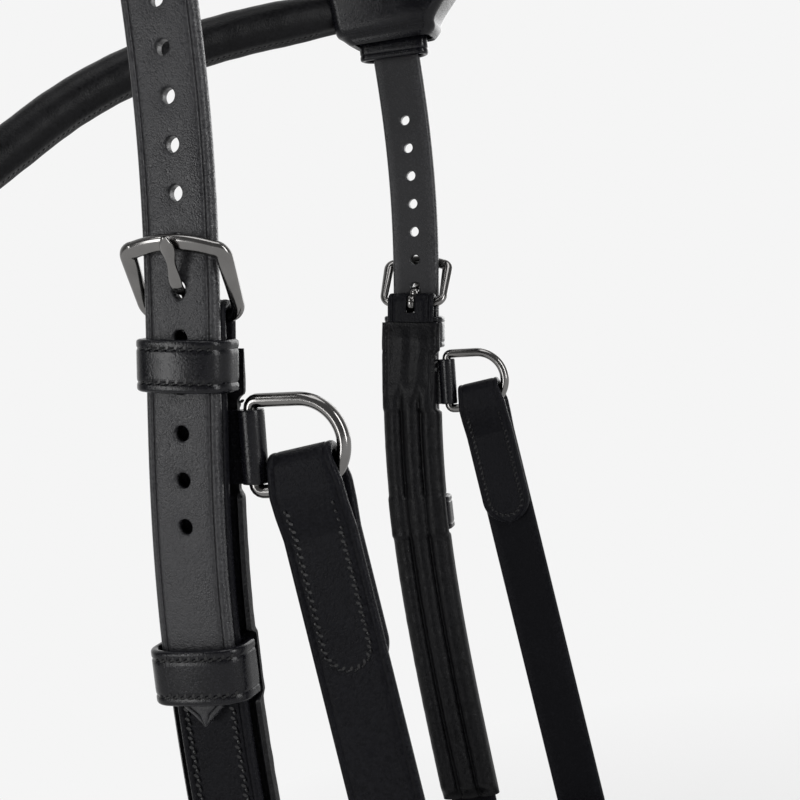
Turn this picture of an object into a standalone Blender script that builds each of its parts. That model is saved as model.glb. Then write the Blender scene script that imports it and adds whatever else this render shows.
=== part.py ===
"""Horse bridle with a rolled browband, buckled cheeks and bit straps hung from dees.

Metres, +Z up. The horse looks along -Y, and its left side is +X. The origin lies on
the underside of the headpiece, where the bridle sits on the poll. Left pieces are
modelled, and right ones are their mirror images.
"""
from collections import namedtuple
from math import atan2, cos, pi, radians, sin, sqrt, tan, tanh

import bmesh
import bpy
import numpy as np
from mathutils import Matrix, Vector

MM = 0.001
FIT = 0.3 * MM
CUT_OVERRUN = 3.0 * MM
SMOOTH_ANGLE = radians(35)

# The head that the bridle fits: an arch over the poll, then two nearly upright cheeks
HALF_SPAN = 98.0 * MM
CROWN_DROP = 117.0 * MM
POLL_PAD_THICK = 12.0 * MM
CHEEK_SWEEP = 20.0 * MM
BEND_DROP = 232.0 * MM
BEND_SPAN = 83.0 * MM

# Leather
STRAP_WIDTH = 19.0 * MM
BILLET_THICK = 3.6 * MM
CHEEK_THICK = 2.8 * MM
CHAPE_THICK = 2.0 * MM
LINING_THICK = 6.5 * MM
LINING_WIDTH = 24.0 * MM
KEEPER_THICK = 2.1 * MM

# Headpiece, with its front edge cut back for the ears
HEADPIECE_THICK = 3.0 * MM
HEADPIECE_REAR_HALF = 28.0 * MM
HEADPIECE_FRONT_HALF = 25.0 * MM
HEADPIECE_EAR_HALF = 16.0 * MM
HEADPIECE_END_HALF = 13.5 * MM
HEADPIECE_PAD_MARGIN = 2.5 * MM
HEADPIECE_PAD_END_THICK = 5.0 * MM
HEADPIECE_END_HEIGHT = -109.0 * MM
HEADPIECE_NECK_LENGTH = 9.0 * MM
EAR_CUT_LENGTH = 62.0 * MM
POLL_FLAT_HALF = 12.0 * MM
BILLET_ROOT_REACH = 134.0 * MM
LAYER_RISE_LENGTH = 24.0 * MM
END_BAND_WIDTH = 28.0 * MM
END_BAND_LENGTH = 13.5 * MM
END_BAND_LEAN = radians(6)

# Browband and its loops, which gather the padded headpiece
LOOP_TOP = -92.0 * MM
LOOP_BOTTOM = -118.0 * MM
LOOP_MOUTH_HALF = 17.0 * MM
LOOP_LIP_SWELL = 2.2 * MM
BROWBAND_DIAMETER = 17.5 * MM
BROWBAND_END_DIAMETER = 15.5 * MM
BROWBAND_HEIGHT = -102.0 * MM
BROWBAND_REACH = 135.0 * MM
BROWBAND_SAG = 66.0 * MM

# Billet holes and point
FIRST_HOLE_HEIGHT = -149.0 * MM
HOLE_PITCH = 11.3 * MM
HOLE_DIAMETER = 4.0 * MM
HOLE_COUNT = 12
TONGUE_HOLE_COUNT = 6
TONGUE_HOLE_STRETCH = 1.2 * MM
POINT_BELOW_LAST_HOLE = 48.5 * MM
POINT_LENGTH = 9.5 * MM

# Buckle, in the frame of its own strap: the pivot bar is the origin
BAR_RADIUS = 1.6 * MM
BAR_CLEARANCE = 0.25 * MM
BUCKLE_SIDE_RADIUS = 1.7 * MM
BUCKLE_TOP_HALF_HEIGHT = 2.2 * MM
BUCKLE_TOP_HALF_DEPTH = 1.5 * MM
BUCKLE_INNER_WIDTH = 21.2 * MM
BUCKLE_RISE = 15.6 * MM
BUCKLE_ARCH = 1.8 * MM
BUCKLE_TOP_CORNER = 2.2 * MM
BUCKLE_FOOT_CORNER = 3.6 * MM
PIVOT_TO_TONGUE_HOLE = 6.0 * MM
TONGUE_THICK = 1.7 * MM
TONGUE_SHANK_WIDTH = 2.7 * MM
TONGUE_NECK_WIDTH = 2.2 * MM
TONGUE_LEAF_WIDTH = 3.4 * MM
TONGUE_TIP_WIDTH = 1.0 * MM
TONGUE_OVERLAP = 1.9 * MM
SLOT_CLEARANCE = 0.5 * MM

# Cheek strap and lining
LINING_TOP_BELOW_PIVOT = 7.6 * MM
LINING_PANEL_LENGTH = 27.0 * MM
LINING_FOOT = -424.0 * MM
UPPER_KEEPER_HEIGHT = -232.2 * MM
UPPER_KEEPER_LENGTH = 12.6 * MM
LOWER_KEEPER_HEIGHT = -305.5 * MM
LOWER_KEEPER_LENGTH = 13.6 * MM
KEEPER_SIDE_ROOM = 0.5 * MM
LOWER_KEEPER_SIDE_ROOM = 1.1 * MM

# Dee, its leather tab and the bit strap's turning point
DEE_WIRE_RADIUS = 1.7 * MM
DEE_HALF_HEIGHT = 11.0 * MM
DEE_STRAIGHT = 12.1 * MM
DEE_CORNER_RADIUS = 1.9 * MM
DEE_TILT = radians(9.5)
DEE_STATION_HEIGHT = -251.4 * MM
DEE_BAR_OUTSIDE_LINING = 2.9 * MM
TAB_THICK = 1.6 * MM
TAB_SLEEVE_RADIUS = 3.3 * MM
TAB_TAIL = 24.0 * MM

# Bit strap: one ribbon folded over the dee above and round the bit ring below
BIT_STRAP_THICK = 2.4 * MM
BIT_STRAP_LEAN = radians(1.0)
FOLD_HALF_WIDTH = 8.3 * MM
FOLD_TOP = 1.7 * MM
FOLD_SIDE = 3.3 * MM
FOLD_CORNER_RADIUS = 3.0 * MM
FOLD_DEPTH = 13.5 * MM
FOLD_FLARED_AT = 10.1 * MM
FOLD_CLOSED_AT = 20.0 * MM
FOLD_TAIL_LENGTH = 58.0 * MM
BIT_HOOK_DROP = 199.0 * MM
BIT_KEEPER_GAP = 12.0 * MM
BIT_KEEPER_LENGTH = 8.0 * MM
BIT_LOOP_BOTTOM = 240.0 * MM
BIT_LOOP_RADIUS = 8.2 * MM
BIT_TAIL_ABOVE_HOOK = 23.0 * MM
HOOK_THICK = 0.8 * MM
HOOK_PLATE_WIDTH = 8.0 * MM
HOOK_PLATE_LENGTH = 9.0 * MM
HOOK_PLATE_FOOT = 2.7 * MM
HOOK_NECK_WIDTH = 2.4 * MM
HOOK_HEAD_WIDTH = 4.4 * MM
HOOK_HEAD_LENGTH = 5.0 * MM

# Noseband and chin strap
NOSEBAND_HEIGHT = -447.0 * MM
NOSEBAND_WIDTH = 30.0 * MM
NOSEBAND_PAD_THICK = 6.0 * MM
NOSEBAND_FRONT_REACH = 112.0 * MM
NOSEBAND_REAR_OVERLAP = 9.0 * MM
CHIN_REACH = 90.0 * MM
CHIN_SIDE_LENGTH = 22.0 * MM
CHIN_REAR_HALF = 38.0 * MM
CHIN_CORNER_RADIUS = 40.0 * MM
CHIN_PIVOT_DISTANCE = 72.0 * MM
CHIN_LAYER_DROP_LENGTH = 26.0 * MM
CHEEK_WRAP_SPARE = 2.0 * MM
CHEEK_TAIL_TOP = -428.0 * MM
CHIN_POINT_PAST_PIVOT = 32.0 * MM
CHIN_KEEPER_PAST_PIVOT = 12.5 * MM
CHIN_KEEPER_LENGTH = 8.0 * MM
CHIN_HOLE_COUNT = 5

# How finely curves are drawn
LINE_SPOTS = 20
ROLL_SPOTS = 25
NOSE_SPOTS = 37
CHIN_SPOTS = 321
WIRE_SIDES = 10
ROLL_SIDES = 14
HOLE_SIDES = 8
QUARTER_SPOTS = 4

# Shares of the sizes above
CORNER_CUT_SHARE = 0.25
LAYER_GAP_SHARE = 1.3
LIP_DEPTH_SHARE = 0.5
LINING_END_SHARE = 0.55
LINING_PANEL_SHARE = 0.75
BROWBAND_TURN_SHARE = 0.25
BROWBAND_BOW_SHARE = 1.3
BROWBAND_DROOP_SHARE = 2.35
BROWBAND_DRAWN_SHARE = 0.06
NOSE_SQUARE_SHARE = 0.72

# Places worked out from the sizes above
QUARTER_ARCH = pi / 2 * sqrt((HALF_SPAN**2 + CROWN_DROP**2) / 2)
CROWN_FOOT = POLL_PAD_THICK - CROWN_DROP
HALF_FIT = FIT / 2
CHEEK_MIDDLE = HALF_FIT + CHEEK_THICK / 2
BILLET_INNER = HALF_FIT + CHEEK_THICK + LAYER_GAP_SHARE * FIT
BILLET_MIDDLE = BILLET_INNER + BILLET_THICK / 2
BILLET_OUTER = BILLET_INNER + BILLET_THICK
EYE_RADIUS = BAR_RADIUS + BAR_CLEARANCE + TONGUE_THICK / 2
CHAPE_RADIUS = BAR_RADIUS + BAR_CLEARANCE + CHAPE_THICK / 2
BAR_OUTWARD = BILLET_INNER - FIT - CHAPE_THICK / 2 - CHAPE_RADIUS
BUCKLE_TOP_OUTWARD = BILLET_OUTER + BUCKLE_TOP_HALF_DEPTH + 2 * FIT
TAB_HALF_HEIGHT = DEE_HALF_HEIGHT - DEE_CORNER_RADIUS - HALF_FIT

# Half outlines and cross-sections, as shares of the half width and of the thickness
STRAP_SHARES = ((-1, -0.28), (-0.93, -0.5), (0.93, -0.5), (1, -0.28),
                (1, 0.28), (0.93, 0.5), (-0.93, 0.5), (-1, 0.28))
PANEL_SHARES = ((-0.93, 0), (0.93, 0), (1, -0.3), (0.95, -0.8), (0.68, -1), (0.4, -0.97), (0.31, -0.9),
                (0.22, -0.97), (-0.22, -0.97), (-0.31, -0.9), (-0.4, -0.97), (-0.68, -1), (-0.95, -0.8),
                (-1, -0.3))
RIDGE_SHARES = ((-0.93, 0), (0.93, 0), (1, -0.3), (0.95, -0.72), (0.68, -1), (0.42, -0.82), (0.33, -0.6),
                (0.24, -0.82), (-0.24, -0.82), (-0.33, -0.6), (-0.42, -0.82), (-0.68, -1), (-0.95, -0.72),
                (-1, -0.3))
CROWN_PAD_SHARES = ((-0.94, 0), (0.94, 0), (1, -0.35), (0.9, -0.8), (0.66, -1), (0.36, -1),
                    (-0.36, -1), (-0.66, -1), (-0.9, -0.8), (-1, -0.35))
NOSE_PAD_SHARES = ((-1, -0.25), (-0.9, -0.5), (0.9, -0.5), (1, -0.25), (1, 0.3), (0.92, 0.5),
                   (-0.92, 0.5), (-1, 0.3))
POINT_SHARES = ((0, 1), (0.25, 0.8), (0.55, 0.5), (0.85, 0.2), (1, 0.07))
ROUND_END_SHARES = ((0, 1), (0.4, 0.92), (0.75, 0.66), (1, 0.25))
ARCH_SHARES = (0.7, 0.35, 0.0, -0.35, -0.7)
TONGUE_SHARES = (0.0, 0.52, 0.68, 0.84, 1.0)
OCTAGON_SHARES = tuple((cos(pi / 8 + k * pi / 4), sin(pi / 8 + k * pi / 4)) for k in range(8))

LEATHER = ("black bridle leather", (0.016, 0.016, 0.018), 0.42, 0.0)
SOFT_LEATHER = ("soft black lining leather", (0.013, 0.013, 0.014), 0.6, 0.0)
STEEL = ("polished stainless steel", (0.62, 0.60, 0.57), 0.2, 1.0)

Station = namedtuple("Station", "point along across outward")


def unit(vector):
    """Vector of length one along the given one."""
    return np.asarray(vector, float) / np.linalg.norm(vector)


def sweep(height):
    """Fore-and-aft place of the cheek line, an S that hangs plumb at both ends."""
    return CHEEK_SWEEP * (tanh((height + BEND_DROP) / BEND_SPAN) - 1)


def head_point(reach):
    """Point of the seam line, a distance from the middle of the poll along the left side."""
    if abs(reach) <= QUARTER_ARCH:
        angle = reach / QUARTER_ARCH * pi / 2
        height = CROWN_FOOT + CROWN_DROP * cos(angle)
        return np.array((HALF_SPAN * sin(angle), sweep(height), height))
    height = CROWN_FOOT - (abs(reach) - QUARTER_ARCH)
    return np.array((HALF_SPAN * np.sign(reach), sweep(height), height))


def head_station(reach):
    """Frame on the seam line: along it, towards the horse's rear, and away from the head."""
    step = HALF_FIT
    along = unit(head_point(reach + step) - head_point(reach - step))
    angle = np.clip(reach / QUARTER_ARCH, -1, 1) * pi / 2
    outward = unit((sin(angle) / HALF_SPAN, 0, cos(angle) / CROWN_DROP))
    across = unit(np.cross(outward, along))
    return Station(head_point(reach), along, across, outward)


def reach_at(height):
    """Distance along the left seam line of a height below the arch."""
    return QUARTER_ARCH + CROWN_FOOT - height


def cheek_station(height):
    """Frame on the left cheek, with its first axis pointing up the strap."""
    station = head_station(reach_at(height))
    return Station(station.point, -station.along, station.across, station.outward)


def place(station, across=0.0, along=0.0, outward=0.0):
    """Point that lies the three distances away from a station."""
    return (station.point + across * station.across + along * station.along
            + outward * station.outward)


def smooth(points, rounds):
    """Corner cutting: each round replaces a corner by two points a share along its sides."""
    points = np.asarray(points, float)
    for _ in range(rounds):
        step = CORNER_CUT_SHARE * (points[1:] - points[:-1])
        pairs = np.stack((points[:-1] + step, points[1:] - step), axis=1).reshape(-1, points.shape[1])
        points = np.vstack((points[:1], pairs[1:-1], points[-1:]))
    return points


def rounded(corners, radii, steps=4, closed=False):
    """Line through 2-D corners, with an arc in place of each corner that has a radius."""
    corners = np.asarray(corners, float)
    count = len(corners)
    radii = np.broadcast_to(radii, count)
    line = []
    for k, corner in enumerate(corners):
        if radii[k] == 0 or (not closed and k in (0, count - 1)):
            line.append(corner)
            continue
        before = unit(corners[k - 1] - corner)
        after = unit(corners[(k + 1) % count] - corner)
        half_angle = np.arccos(np.clip(before @ after, -1, 1)) / 2
        centre = corner + unit(before + after) * radii[k] / sin(half_angle)
        touch = radii[k] / tan(half_angle)
        first, last = (corner + way * touch - centre for way in (before, after))
        sweep_angle = (atan2(last[1], last[0]) - atan2(first[1], first[0]) + pi) % (2 * pi) - pi
        for angle in np.linspace(0, sweep_angle, steps):
            turned = np.array((first[0] * cos(angle) - first[1] * sin(angle),
                               first[0] * sin(angle) + first[1] * cos(angle)))
            line.append(centre + turned)
    return np.array(line)


def lengths_along(points):
    """Distance of each point from the first, measured along the line."""
    steps = np.linalg.norm(np.diff(points, axis=0), axis=1)
    return np.concatenate(((0.0,), np.cumsum(steps)))


def resample(points, count):
    """The same line with a given number of evenly spaced points."""
    distance = lengths_along(points)
    wanted = np.linspace(0.0, distance[-1], count)
    return np.stack([np.interp(wanted, distance, column) for column in np.asarray(points).T], axis=1)


def new_piece(name, mesh_data):
    """Object from a bmesh, with its faces turned outwards."""
    bmesh.ops.recalc_face_normals(mesh_data, faces=mesh_data.faces)
    mesh = bpy.data.meshes.new(name)
    mesh_data.to_mesh(mesh)
    mesh_data.free()
    piece = bpy.data.objects.new(name, mesh)
    bpy.context.scene.collection.objects.link(piece)
    return piece


def loft(name, rings, closed=False):
    """Skin through rings of points. An open loft gets flat ends, a closed one meets itself."""
    mesh_data = bmesh.new()
    rows = [[mesh_data.verts.new(point) for point in ring] for ring in rings]
    following = rows[1:] + rows[:1] if closed else rows[1:]
    for row, next_row in zip(rows, following):
        for k in range(len(row)):
            n = (k + 1) % len(row)
            mesh_data.faces.new((row[k], row[n], next_row[n], next_row[k]))
    if not closed:
        mesh_data.faces.new(rows[0][::-1])
        mesh_data.faces.new(rows[-1])
    return new_piece(name, mesh_data)


def ribbon(name, points, acrosses, half_widths, thicks, closed=False, shares=STRAP_SHARES):
    """Strap carried flat along a line: its width lies across, its thickness square to the line."""
    points = np.asarray(points, float)
    count = len(points)
    acrosses = np.broadcast_to(acrosses, (count, 3))
    half_widths = np.broadcast_to(half_widths, count)
    thicks = np.broadcast_to(thicks, count)
    if closed:
        tangents = np.roll(points, -1, axis=0) - np.roll(points, 1, axis=0)
    else:
        tangents = np.gradient(points, axis=0)
    faces = np.cross(acrosses, tangents)
    faces /= np.linalg.norm(faces, axis=1)[:, None]
    section = np.array(shares)
    rings = (points[:, None]
             + section[None, :, 0, None] * (half_widths[:, None] * acrosses)[:, None]
             + section[None, :, 1, None] * (thicks[:, None] * faces)[:, None])
    return loft(name, rings, closed)


def prism(name, station, outline, half_width, axis="across"):
    """Solid with an outline square to one axis of a station, used to cut slots and pockets."""
    rings = []
    for side in (-half_width, half_width):
        if axis == "across":
            ring = [place(station, side, along, outward) for along, outward in outline]
        elif axis == "along":
            ring = [place(station, across, side, outward) for across, outward in outline]
        else:
            ring = [place(station, across, along, side) for across, along in outline]
        rings.append(ring)
    return loft(name, rings)


def box_outline(low_a, high_a, low_b, high_b):
    """Four corners of a rectangle."""
    return ((low_a, low_b), (high_a, low_b), (high_a, high_b), (low_a, high_b))


def circle_outline(radius, count, stretch=0.0):
    """Corners of a circle, drawn out along the first axis where it has a stretch."""
    corners = []
    for k in range(count):
        angle = 2 * pi * (k + 0.5) / count
        shift = stretch / 2 * np.sign(cos(angle))
        corners.append((radius * cos(angle) + shift, radius * sin(angle)))
    return corners


def bake(piece):
    """Replace a piece's mesh by its shape with the modifiers applied."""
    evaluated = piece.evaluated_get(bpy.context.evaluated_depsgraph_get())
    mesh = bpy.data.meshes.new_from_object(evaluated)
    piece.modifiers.clear()
    piece.data = mesh


def cut(piece, cutter):
    """Take a cutter's shape out of a piece, and remove the cutter."""
    modifier = piece.modifiers.new("cut", "BOOLEAN")
    modifier.operation = "DIFFERENCE"
    modifier.solver = "EXACT"
    modifier.object = cutter
    bake(piece)
    bpy.data.objects.remove(cutter)


def finish(piece, look):
    """Give a piece its material and its shading."""
    name, colour, roughness, metallic = look
    material = bpy.data.materials.new(piece.name + " " + name)
    material.use_nodes = True
    shader = material.node_tree.nodes["Principled BSDF"]
    shader.inputs["Base Color"].default_value = (*colour, 1.0)
    shader.inputs["Roughness"].default_value = roughness
    shader.inputs["Metallic"].default_value = metallic
    material.diffuse_color = (*colour, 1.0)
    material.roughness = roughness
    material.metallic = metallic
    piece.data.materials.clear()
    piece.data.materials.append(material)
    piece.data.shade_smooth()
    piece.data.set_sharp_from_angle(angle=SMOOTH_ANGLE)


def hang_on(piece, pivot):
    """Move a piece's origin to a point of its joint's axis, leaving its shape in place."""
    piece.data.transform(Matrix.Translation(-Vector(pivot)))
    piece.location = Vector(pivot)


def mirrored(piece, name):
    """The right-hand copy of a left-hand piece."""
    mesh = piece.data.copy()
    mesh.transform(Matrix.Scale(-1, 4, Vector((1, 0, 0))))
    mesh.flip_normals()
    copy = bpy.data.objects.new(name, mesh)
    copy.location = Vector((-piece.location.x, piece.location.y, piece.location.z))
    bpy.context.scene.collection.objects.link(copy)
    return copy


def both_sides(piece, look):
    """Finish a left piece and make its right-hand twin."""
    twin = mirrored(piece, piece.name.replace("left_", "right_", 1))
    finish(piece, look)
    finish(twin, look)


def turn(first, last):
    """Evenly spaced angles from one to the other, in degrees given and radians returned."""
    quarters = abs(last - first) / 90
    return np.radians(np.linspace(first, last, round(quarters * (QUARTER_SPOTS - 1)) + 1))


def ease(share):
    """Smooth step from 0 to 1."""
    share = min(max(share, 0.0), 1.0)
    return share * share * (3 - 2 * share)


def headpiece_half_widths(far):
    """Front and rear half widths of the headpiece, a distance from the middle of the poll."""
    end = reach_at(HEADPIECE_END_HEIGHT)
    neck = ease((far - end + HEADPIECE_NECK_LENGTH) / HEADPIECE_NECK_LENGTH)
    ear = ease((far - POLL_FLAT_HALF) / EAR_CUT_LENGTH)
    front = HEADPIECE_FRONT_HALF + ear * (HEADPIECE_EAR_HALF - HEADPIECE_FRONT_HALF)
    front += neck * (HEADPIECE_END_HALF - HEADPIECE_EAR_HALF)
    rear = HEADPIECE_REAR_HALF + neck * (HEADPIECE_END_HALF - HEADPIECE_REAR_HALF)
    return front, rear


def headpiece_pad_thick(far):
    """Thickness of the cushion, a distance from the middle of the poll."""
    middle = POLL_PAD_THICK - HALF_FIT
    return middle + (far / reach_at(HEADPIECE_END_HEIGHT)) ** 2 * (HEADPIECE_PAD_END_THICK - middle)


def make_headpiece():
    """Wide crown strap and the cushion under it, which rise over the roots of the billets."""
    end = reach_at(HEADPIECE_END_HEIGHT)
    neck = end - HEADPIECE_NECK_LENGTH
    rise_start = BILLET_ROOT_REACH - LAYER_RISE_LENGTH
    # The crown between its two middle stations is left straight, as the seat on the poll
    side = np.concatenate((np.linspace(POLL_FLAT_HALF, rise_start, 8),
                           np.linspace(rise_start, BILLET_ROOT_REACH - FIT, 5)[1:],
                           np.linspace(BILLET_ROOT_REACH - FIT, neck, 4)[1:],
                           np.linspace(neck, end, 5)[1:]))
    top_rings = []
    pad_rings = []
    for reach in np.concatenate((-side[::-1], side)):
        station = head_station(reach)
        far = abs(reach)
        front, rear = headpiece_half_widths(far)
        rise = ease((far - rise_start) / (LAYER_RISE_LENGTH - FIT))
        low = HALF_FIT + rise * (BILLET_OUTER + FIT - HALF_FIT)
        top_rings.append([place(station, a * (rear if a > 0 else front), 0, low + (t + 0.5) * HEADPIECE_THICK)
                          for a, t in STRAP_SHARES])
        margin = HEADPIECE_PAD_MARGIN * ease((end - far) / HEADPIECE_NECK_LENGTH)
        thick = headpiece_pad_thick(far)
        ring = [place(station, a * ((rear if a > 0 else front) + margin), 0, t * thick - HALF_FIT)
                for a, t in CROWN_PAD_SHARES]
        if far == POLL_FLAT_HALF:
            for point, (a, t) in zip(ring, CROWN_PAD_SHARES):
                if t == -1:
                    point[2] = 0.0
        pad_rings.append(ring)
    finish(loft("headpiece_top", top_rings), LEATHER)
    finish(loft("headpiece_padding", pad_rings), SOFT_LEATHER)


def box_line(front, rear, low, high, radius):
    """Rounded rectangle as (across, outward) places, from its front to its rear."""
    return rounded(((-front, low), (rear, low), (rear, high), (-front, high)), radius, 3, closed=True)


def leaning(station, angle):
    """A station turned in the plane of its strap, with its rear side down."""
    along = cos(angle) * station.along + sin(angle) * station.across
    across = cos(angle) * station.across - sin(angle) * station.along
    return Station(station.point, along, across, station.outward)


def band(name, station, half_inside, low_inside, high_inside, length, thick=KEEPER_THICK):
    """Leather loop round a stack, given the room inside it."""
    grow = thick / 2
    line = box_line(half_inside + grow, half_inside + grow, low_inside - grow, high_inside + grow, thick)
    points = [place(station, a, 0, b) for a, b in line]
    return ribbon(name, points, station.along, length / 2, thick, closed=True)


def sleeve(name, station, sections, thick):
    """Wall of even thickness, from inside sections (along, slope, front, rear, low, high)."""
    rings = []
    for grow, stack in ((thick, sections), (0.0, sections[::-1])):
        for along, slope, front, rear, low, high in stack:
            line = box_line(front + grow, rear + grow, low - grow, high + grow, thick + grow)
            rings.append([place(station, a, along - a * slope, b) for a, b in line])
    return loft(name, rings, closed=True)


def loop_station():
    """Frame of the left browband loop, level with the roll."""
    return cheek_station(BROWBAND_HEIGHT)


def make_end_bands():
    """Band that closes the headpiece end on the billet."""
    drop = END_BAND_WIDTH / 2 * sin(END_BAND_LEAN) + END_BAND_LENGTH / 2 + FIT
    station = leaning(cheek_station(HEADPIECE_END_HEIGHT - drop), END_BAND_LEAN)
    piece = band("left_headpiece_end_band", station, END_BAND_WIDTH / 2 - KEEPER_THICK,
                 BILLET_INNER - FIT, BILLET_OUTER + FIT, END_BAND_LENGTH)
    both_sides(piece, LEATHER)


def make_browband_loops():
    """Loop that gathers the padded headpiece, wide above and drawn in to a lip below."""
    station = loop_station()
    rear = HEADPIECE_REAR_HALF + HEADPIECE_PAD_MARGIN + FIT
    front = HEADPIECE_EAR_HALF + HEADPIECE_PAD_MARGIN + FIT
    mouth = LOOP_MOUTH_HALF - KEEPER_THICK
    lip = mouth + LOOP_LIP_SWELL
    slope = tan(END_BAND_LEAN)
    neck = HEADPIECE_END_HEIGHT + HEADPIECE_NECK_LENGTH
    shapes = ((LOOP_BOTTOM, slope, mouth, mouth, LIP_DEPTH_SHARE),
              (LOOP_BOTTOM + LOOP_LIP_SWELL, slope, lip, lip, LIP_DEPTH_SHARE),
              (LOOP_BOTTOM + 2 * LOOP_LIP_SWELL, slope / 2, front, lip, 1.0),
              (neck - LOOP_LIP_SWELL, 0.0, front, rear, 1.0),
              (LOOP_TOP, 0.0, front, rear, 1.0))
    sections = []
    for height, tilt, ahead, behind, depth_share in shapes:
        reach = reach_at(height)
        there = head_station(reach)
        low = place(there, outward=-HALF_FIT - headpiece_pad_thick(reach)) - station.point
        high = place(there, outward=BILLET_OUTER + FIT + HEADPIECE_THICK) - station.point
        sections.append((height - BROWBAND_HEIGHT, tilt, ahead, behind,
                         depth_share * (low @ station.outward - FIT), high @ station.outward + FIT))
    both_sides(sleeve("left_browband_loop", station, sections, KEEPER_THICK), LEATHER)


def browband_line(count):
    """Bow from the left browband loop round the forehead to the right one, drooping to its middle."""
    gap = HEADPIECE_EAR_HALF + HEADPIECE_PAD_MARGIN + KEEPER_THICK + 2 * FIT
    start = place(loop_station(), -gap, 0, CHEEK_MIDDLE)
    shares = np.linspace(1, BROWBAND_TURN_SHARE, 6)
    side = np.stack((start[0] * shares, start[1] - BROWBAND_REACH * (1 - shares**BROWBAND_BOW_SHARE),
                     start[2] - BROWBAND_SAG * (1 - shares) ** BROWBAND_DROOP_SHARE), axis=1)
    step = side[-1] - side[-2]
    tip = side[-1] - step * side[-1][0] / step[0]
    corners = np.vstack((side, tip, side[::-1] * (-1, 1, 1)))
    return resample(smooth(corners, 3), count)


def make_browband():
    """Padded tube that is drawn in where it meets its loops."""
    line = browband_line(ROLL_SPOTS)
    tangents = np.gradient(line, axis=0)
    tangents[0] = -loop_station().across
    tangents[-1] = -tangents[0] * (-1, 1, 1)
    travelled = lengths_along(line)
    share = travelled / travelled[-1]
    rings = []
    for point, tangent, s in zip(line, tangents, share):
        along = unit(tangent)
        level = unit(np.cross(along, (0, 0, 1)))
        rise = np.cross(level, along)
        full = ease(min(s, 1 - s) / BROWBAND_DRAWN_SHARE)
        radius = (BROWBAND_END_DIAMETER + full * (BROWBAND_DIAMETER - BROWBAND_END_DIAMETER)) / 2
        rings.append([point + a * level + b * rise for a, b in circle_outline(radius, ROLL_SIDES)])
    finish(loft("browband_roll", rings), SOFT_LEATHER)


def hole_reaches():
    """Distances along the side of the billet's holes."""
    first = reach_at(FIRST_HOLE_HEIGHT)
    lean = sqrt(1 + (CHEEK_SWEEP / BEND_SPAN) ** 2)
    return [first + k * HOLE_PITCH / lean for k in range(HOLE_COUNT)]


def pointed(start, tip, spots):
    """Distances along a strap that ends in a point, and its half width at each."""
    way = np.sign(tip - start) * POINT_LENGTH
    straight = np.linspace(start, tip - way, spots)
    distances = np.concatenate((straight, [tip - way + s * way for s, _ in POINT_SHARES[1:]]))
    return distances, [STRAP_WIDTH / 2] * spots + [STRAP_WIDTH / 2 * w for _, w in POINT_SHARES[1:]]


def punch(piece, stations, outward, stretches):
    """Punch a strap's holes."""
    for station, stretch in zip(stations, stretches):
        outline = [(a, b) for b, a in circle_outline(HOLE_DIAMETER / 2, HOLE_SIDES, stretch)]
        centre = Station(place(station, outward=outward), station.along, station.across, station.outward)
        cut(piece, prism("punch", centre, outline, BILLET_THICK, axis="outward"))


def make_billets():
    """Billet strap from the headpiece end to its point, with its row of holes."""
    holes = hole_reaches()
    tip = holes[-1] + POINT_BELOW_LAST_HOLE
    reaches, halves = pointed(BILLET_ROOT_REACH, tip, LINE_SPOTS)
    stations = [head_station(reach) for reach in reaches]
    points = [place(s, outward=BILLET_MIDDLE) for s in stations]
    piece = ribbon("left_billet_strap", points, [s.across for s in stations], halves, BILLET_THICK)
    stretches = [TONGUE_HOLE_STRETCH if k == TONGUE_HOLE_COUNT else 0.0 for k in range(HOLE_COUNT)]
    punch(piece, [head_station(reach) for reach in holes], BILLET_MIDDLE, stretches)
    both_sides(piece, LEATHER)


def cheek_pivot():
    """Station on the cheek at the height of the buckle's bar."""
    tongue_reach = hole_reaches()[TONGUE_HOLE_COUNT]
    height = CROWN_FOOT - (tongue_reach - QUARTER_ARCH) - PIVOT_TO_TONGUE_HOLE
    return cheek_station(height)


def buckle_plane():
    """Height of the buckle's top bar in the frame's plane, and that plane's slope as (along, outward)."""
    lift = np.array((BUCKLE_RISE, BUCKLE_TOP_OUTWARD - BAR_OUTWARD))
    top = np.linalg.norm(lift)
    return top, lift / top


def frame_line(top):
    """Middle line of the buckle frame in its own plane: (across, up) from the pivot bar."""
    half = BUCKLE_INNER_WIDTH / 2 + BUCKLE_SIDE_RADIUS
    line = []
    corners = ((half, 0.0, BUCKLE_FOOT_CORNER, -90), (half, top, BUCKLE_TOP_CORNER, 0),
               (-half, top, BUCKLE_TOP_CORNER, 90), (-half, 0.0, BUCKLE_FOOT_CORNER, 180))
    for a, b, radius, start in corners:
        centre_a = a - np.sign(a) * radius
        centre_b = b + (radius if b == 0 else -radius)
        for angle in turn(start, start + 90):
            line.append((centre_a + radius * cos(angle), centre_b + radius * sin(angle)))
        if start == 0:
            span = half - radius
            for share in ARCH_SHARES:
                line.append((share * span, top + BUCKLE_ARCH * (1 - share * share)))
    return np.array(line)


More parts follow.
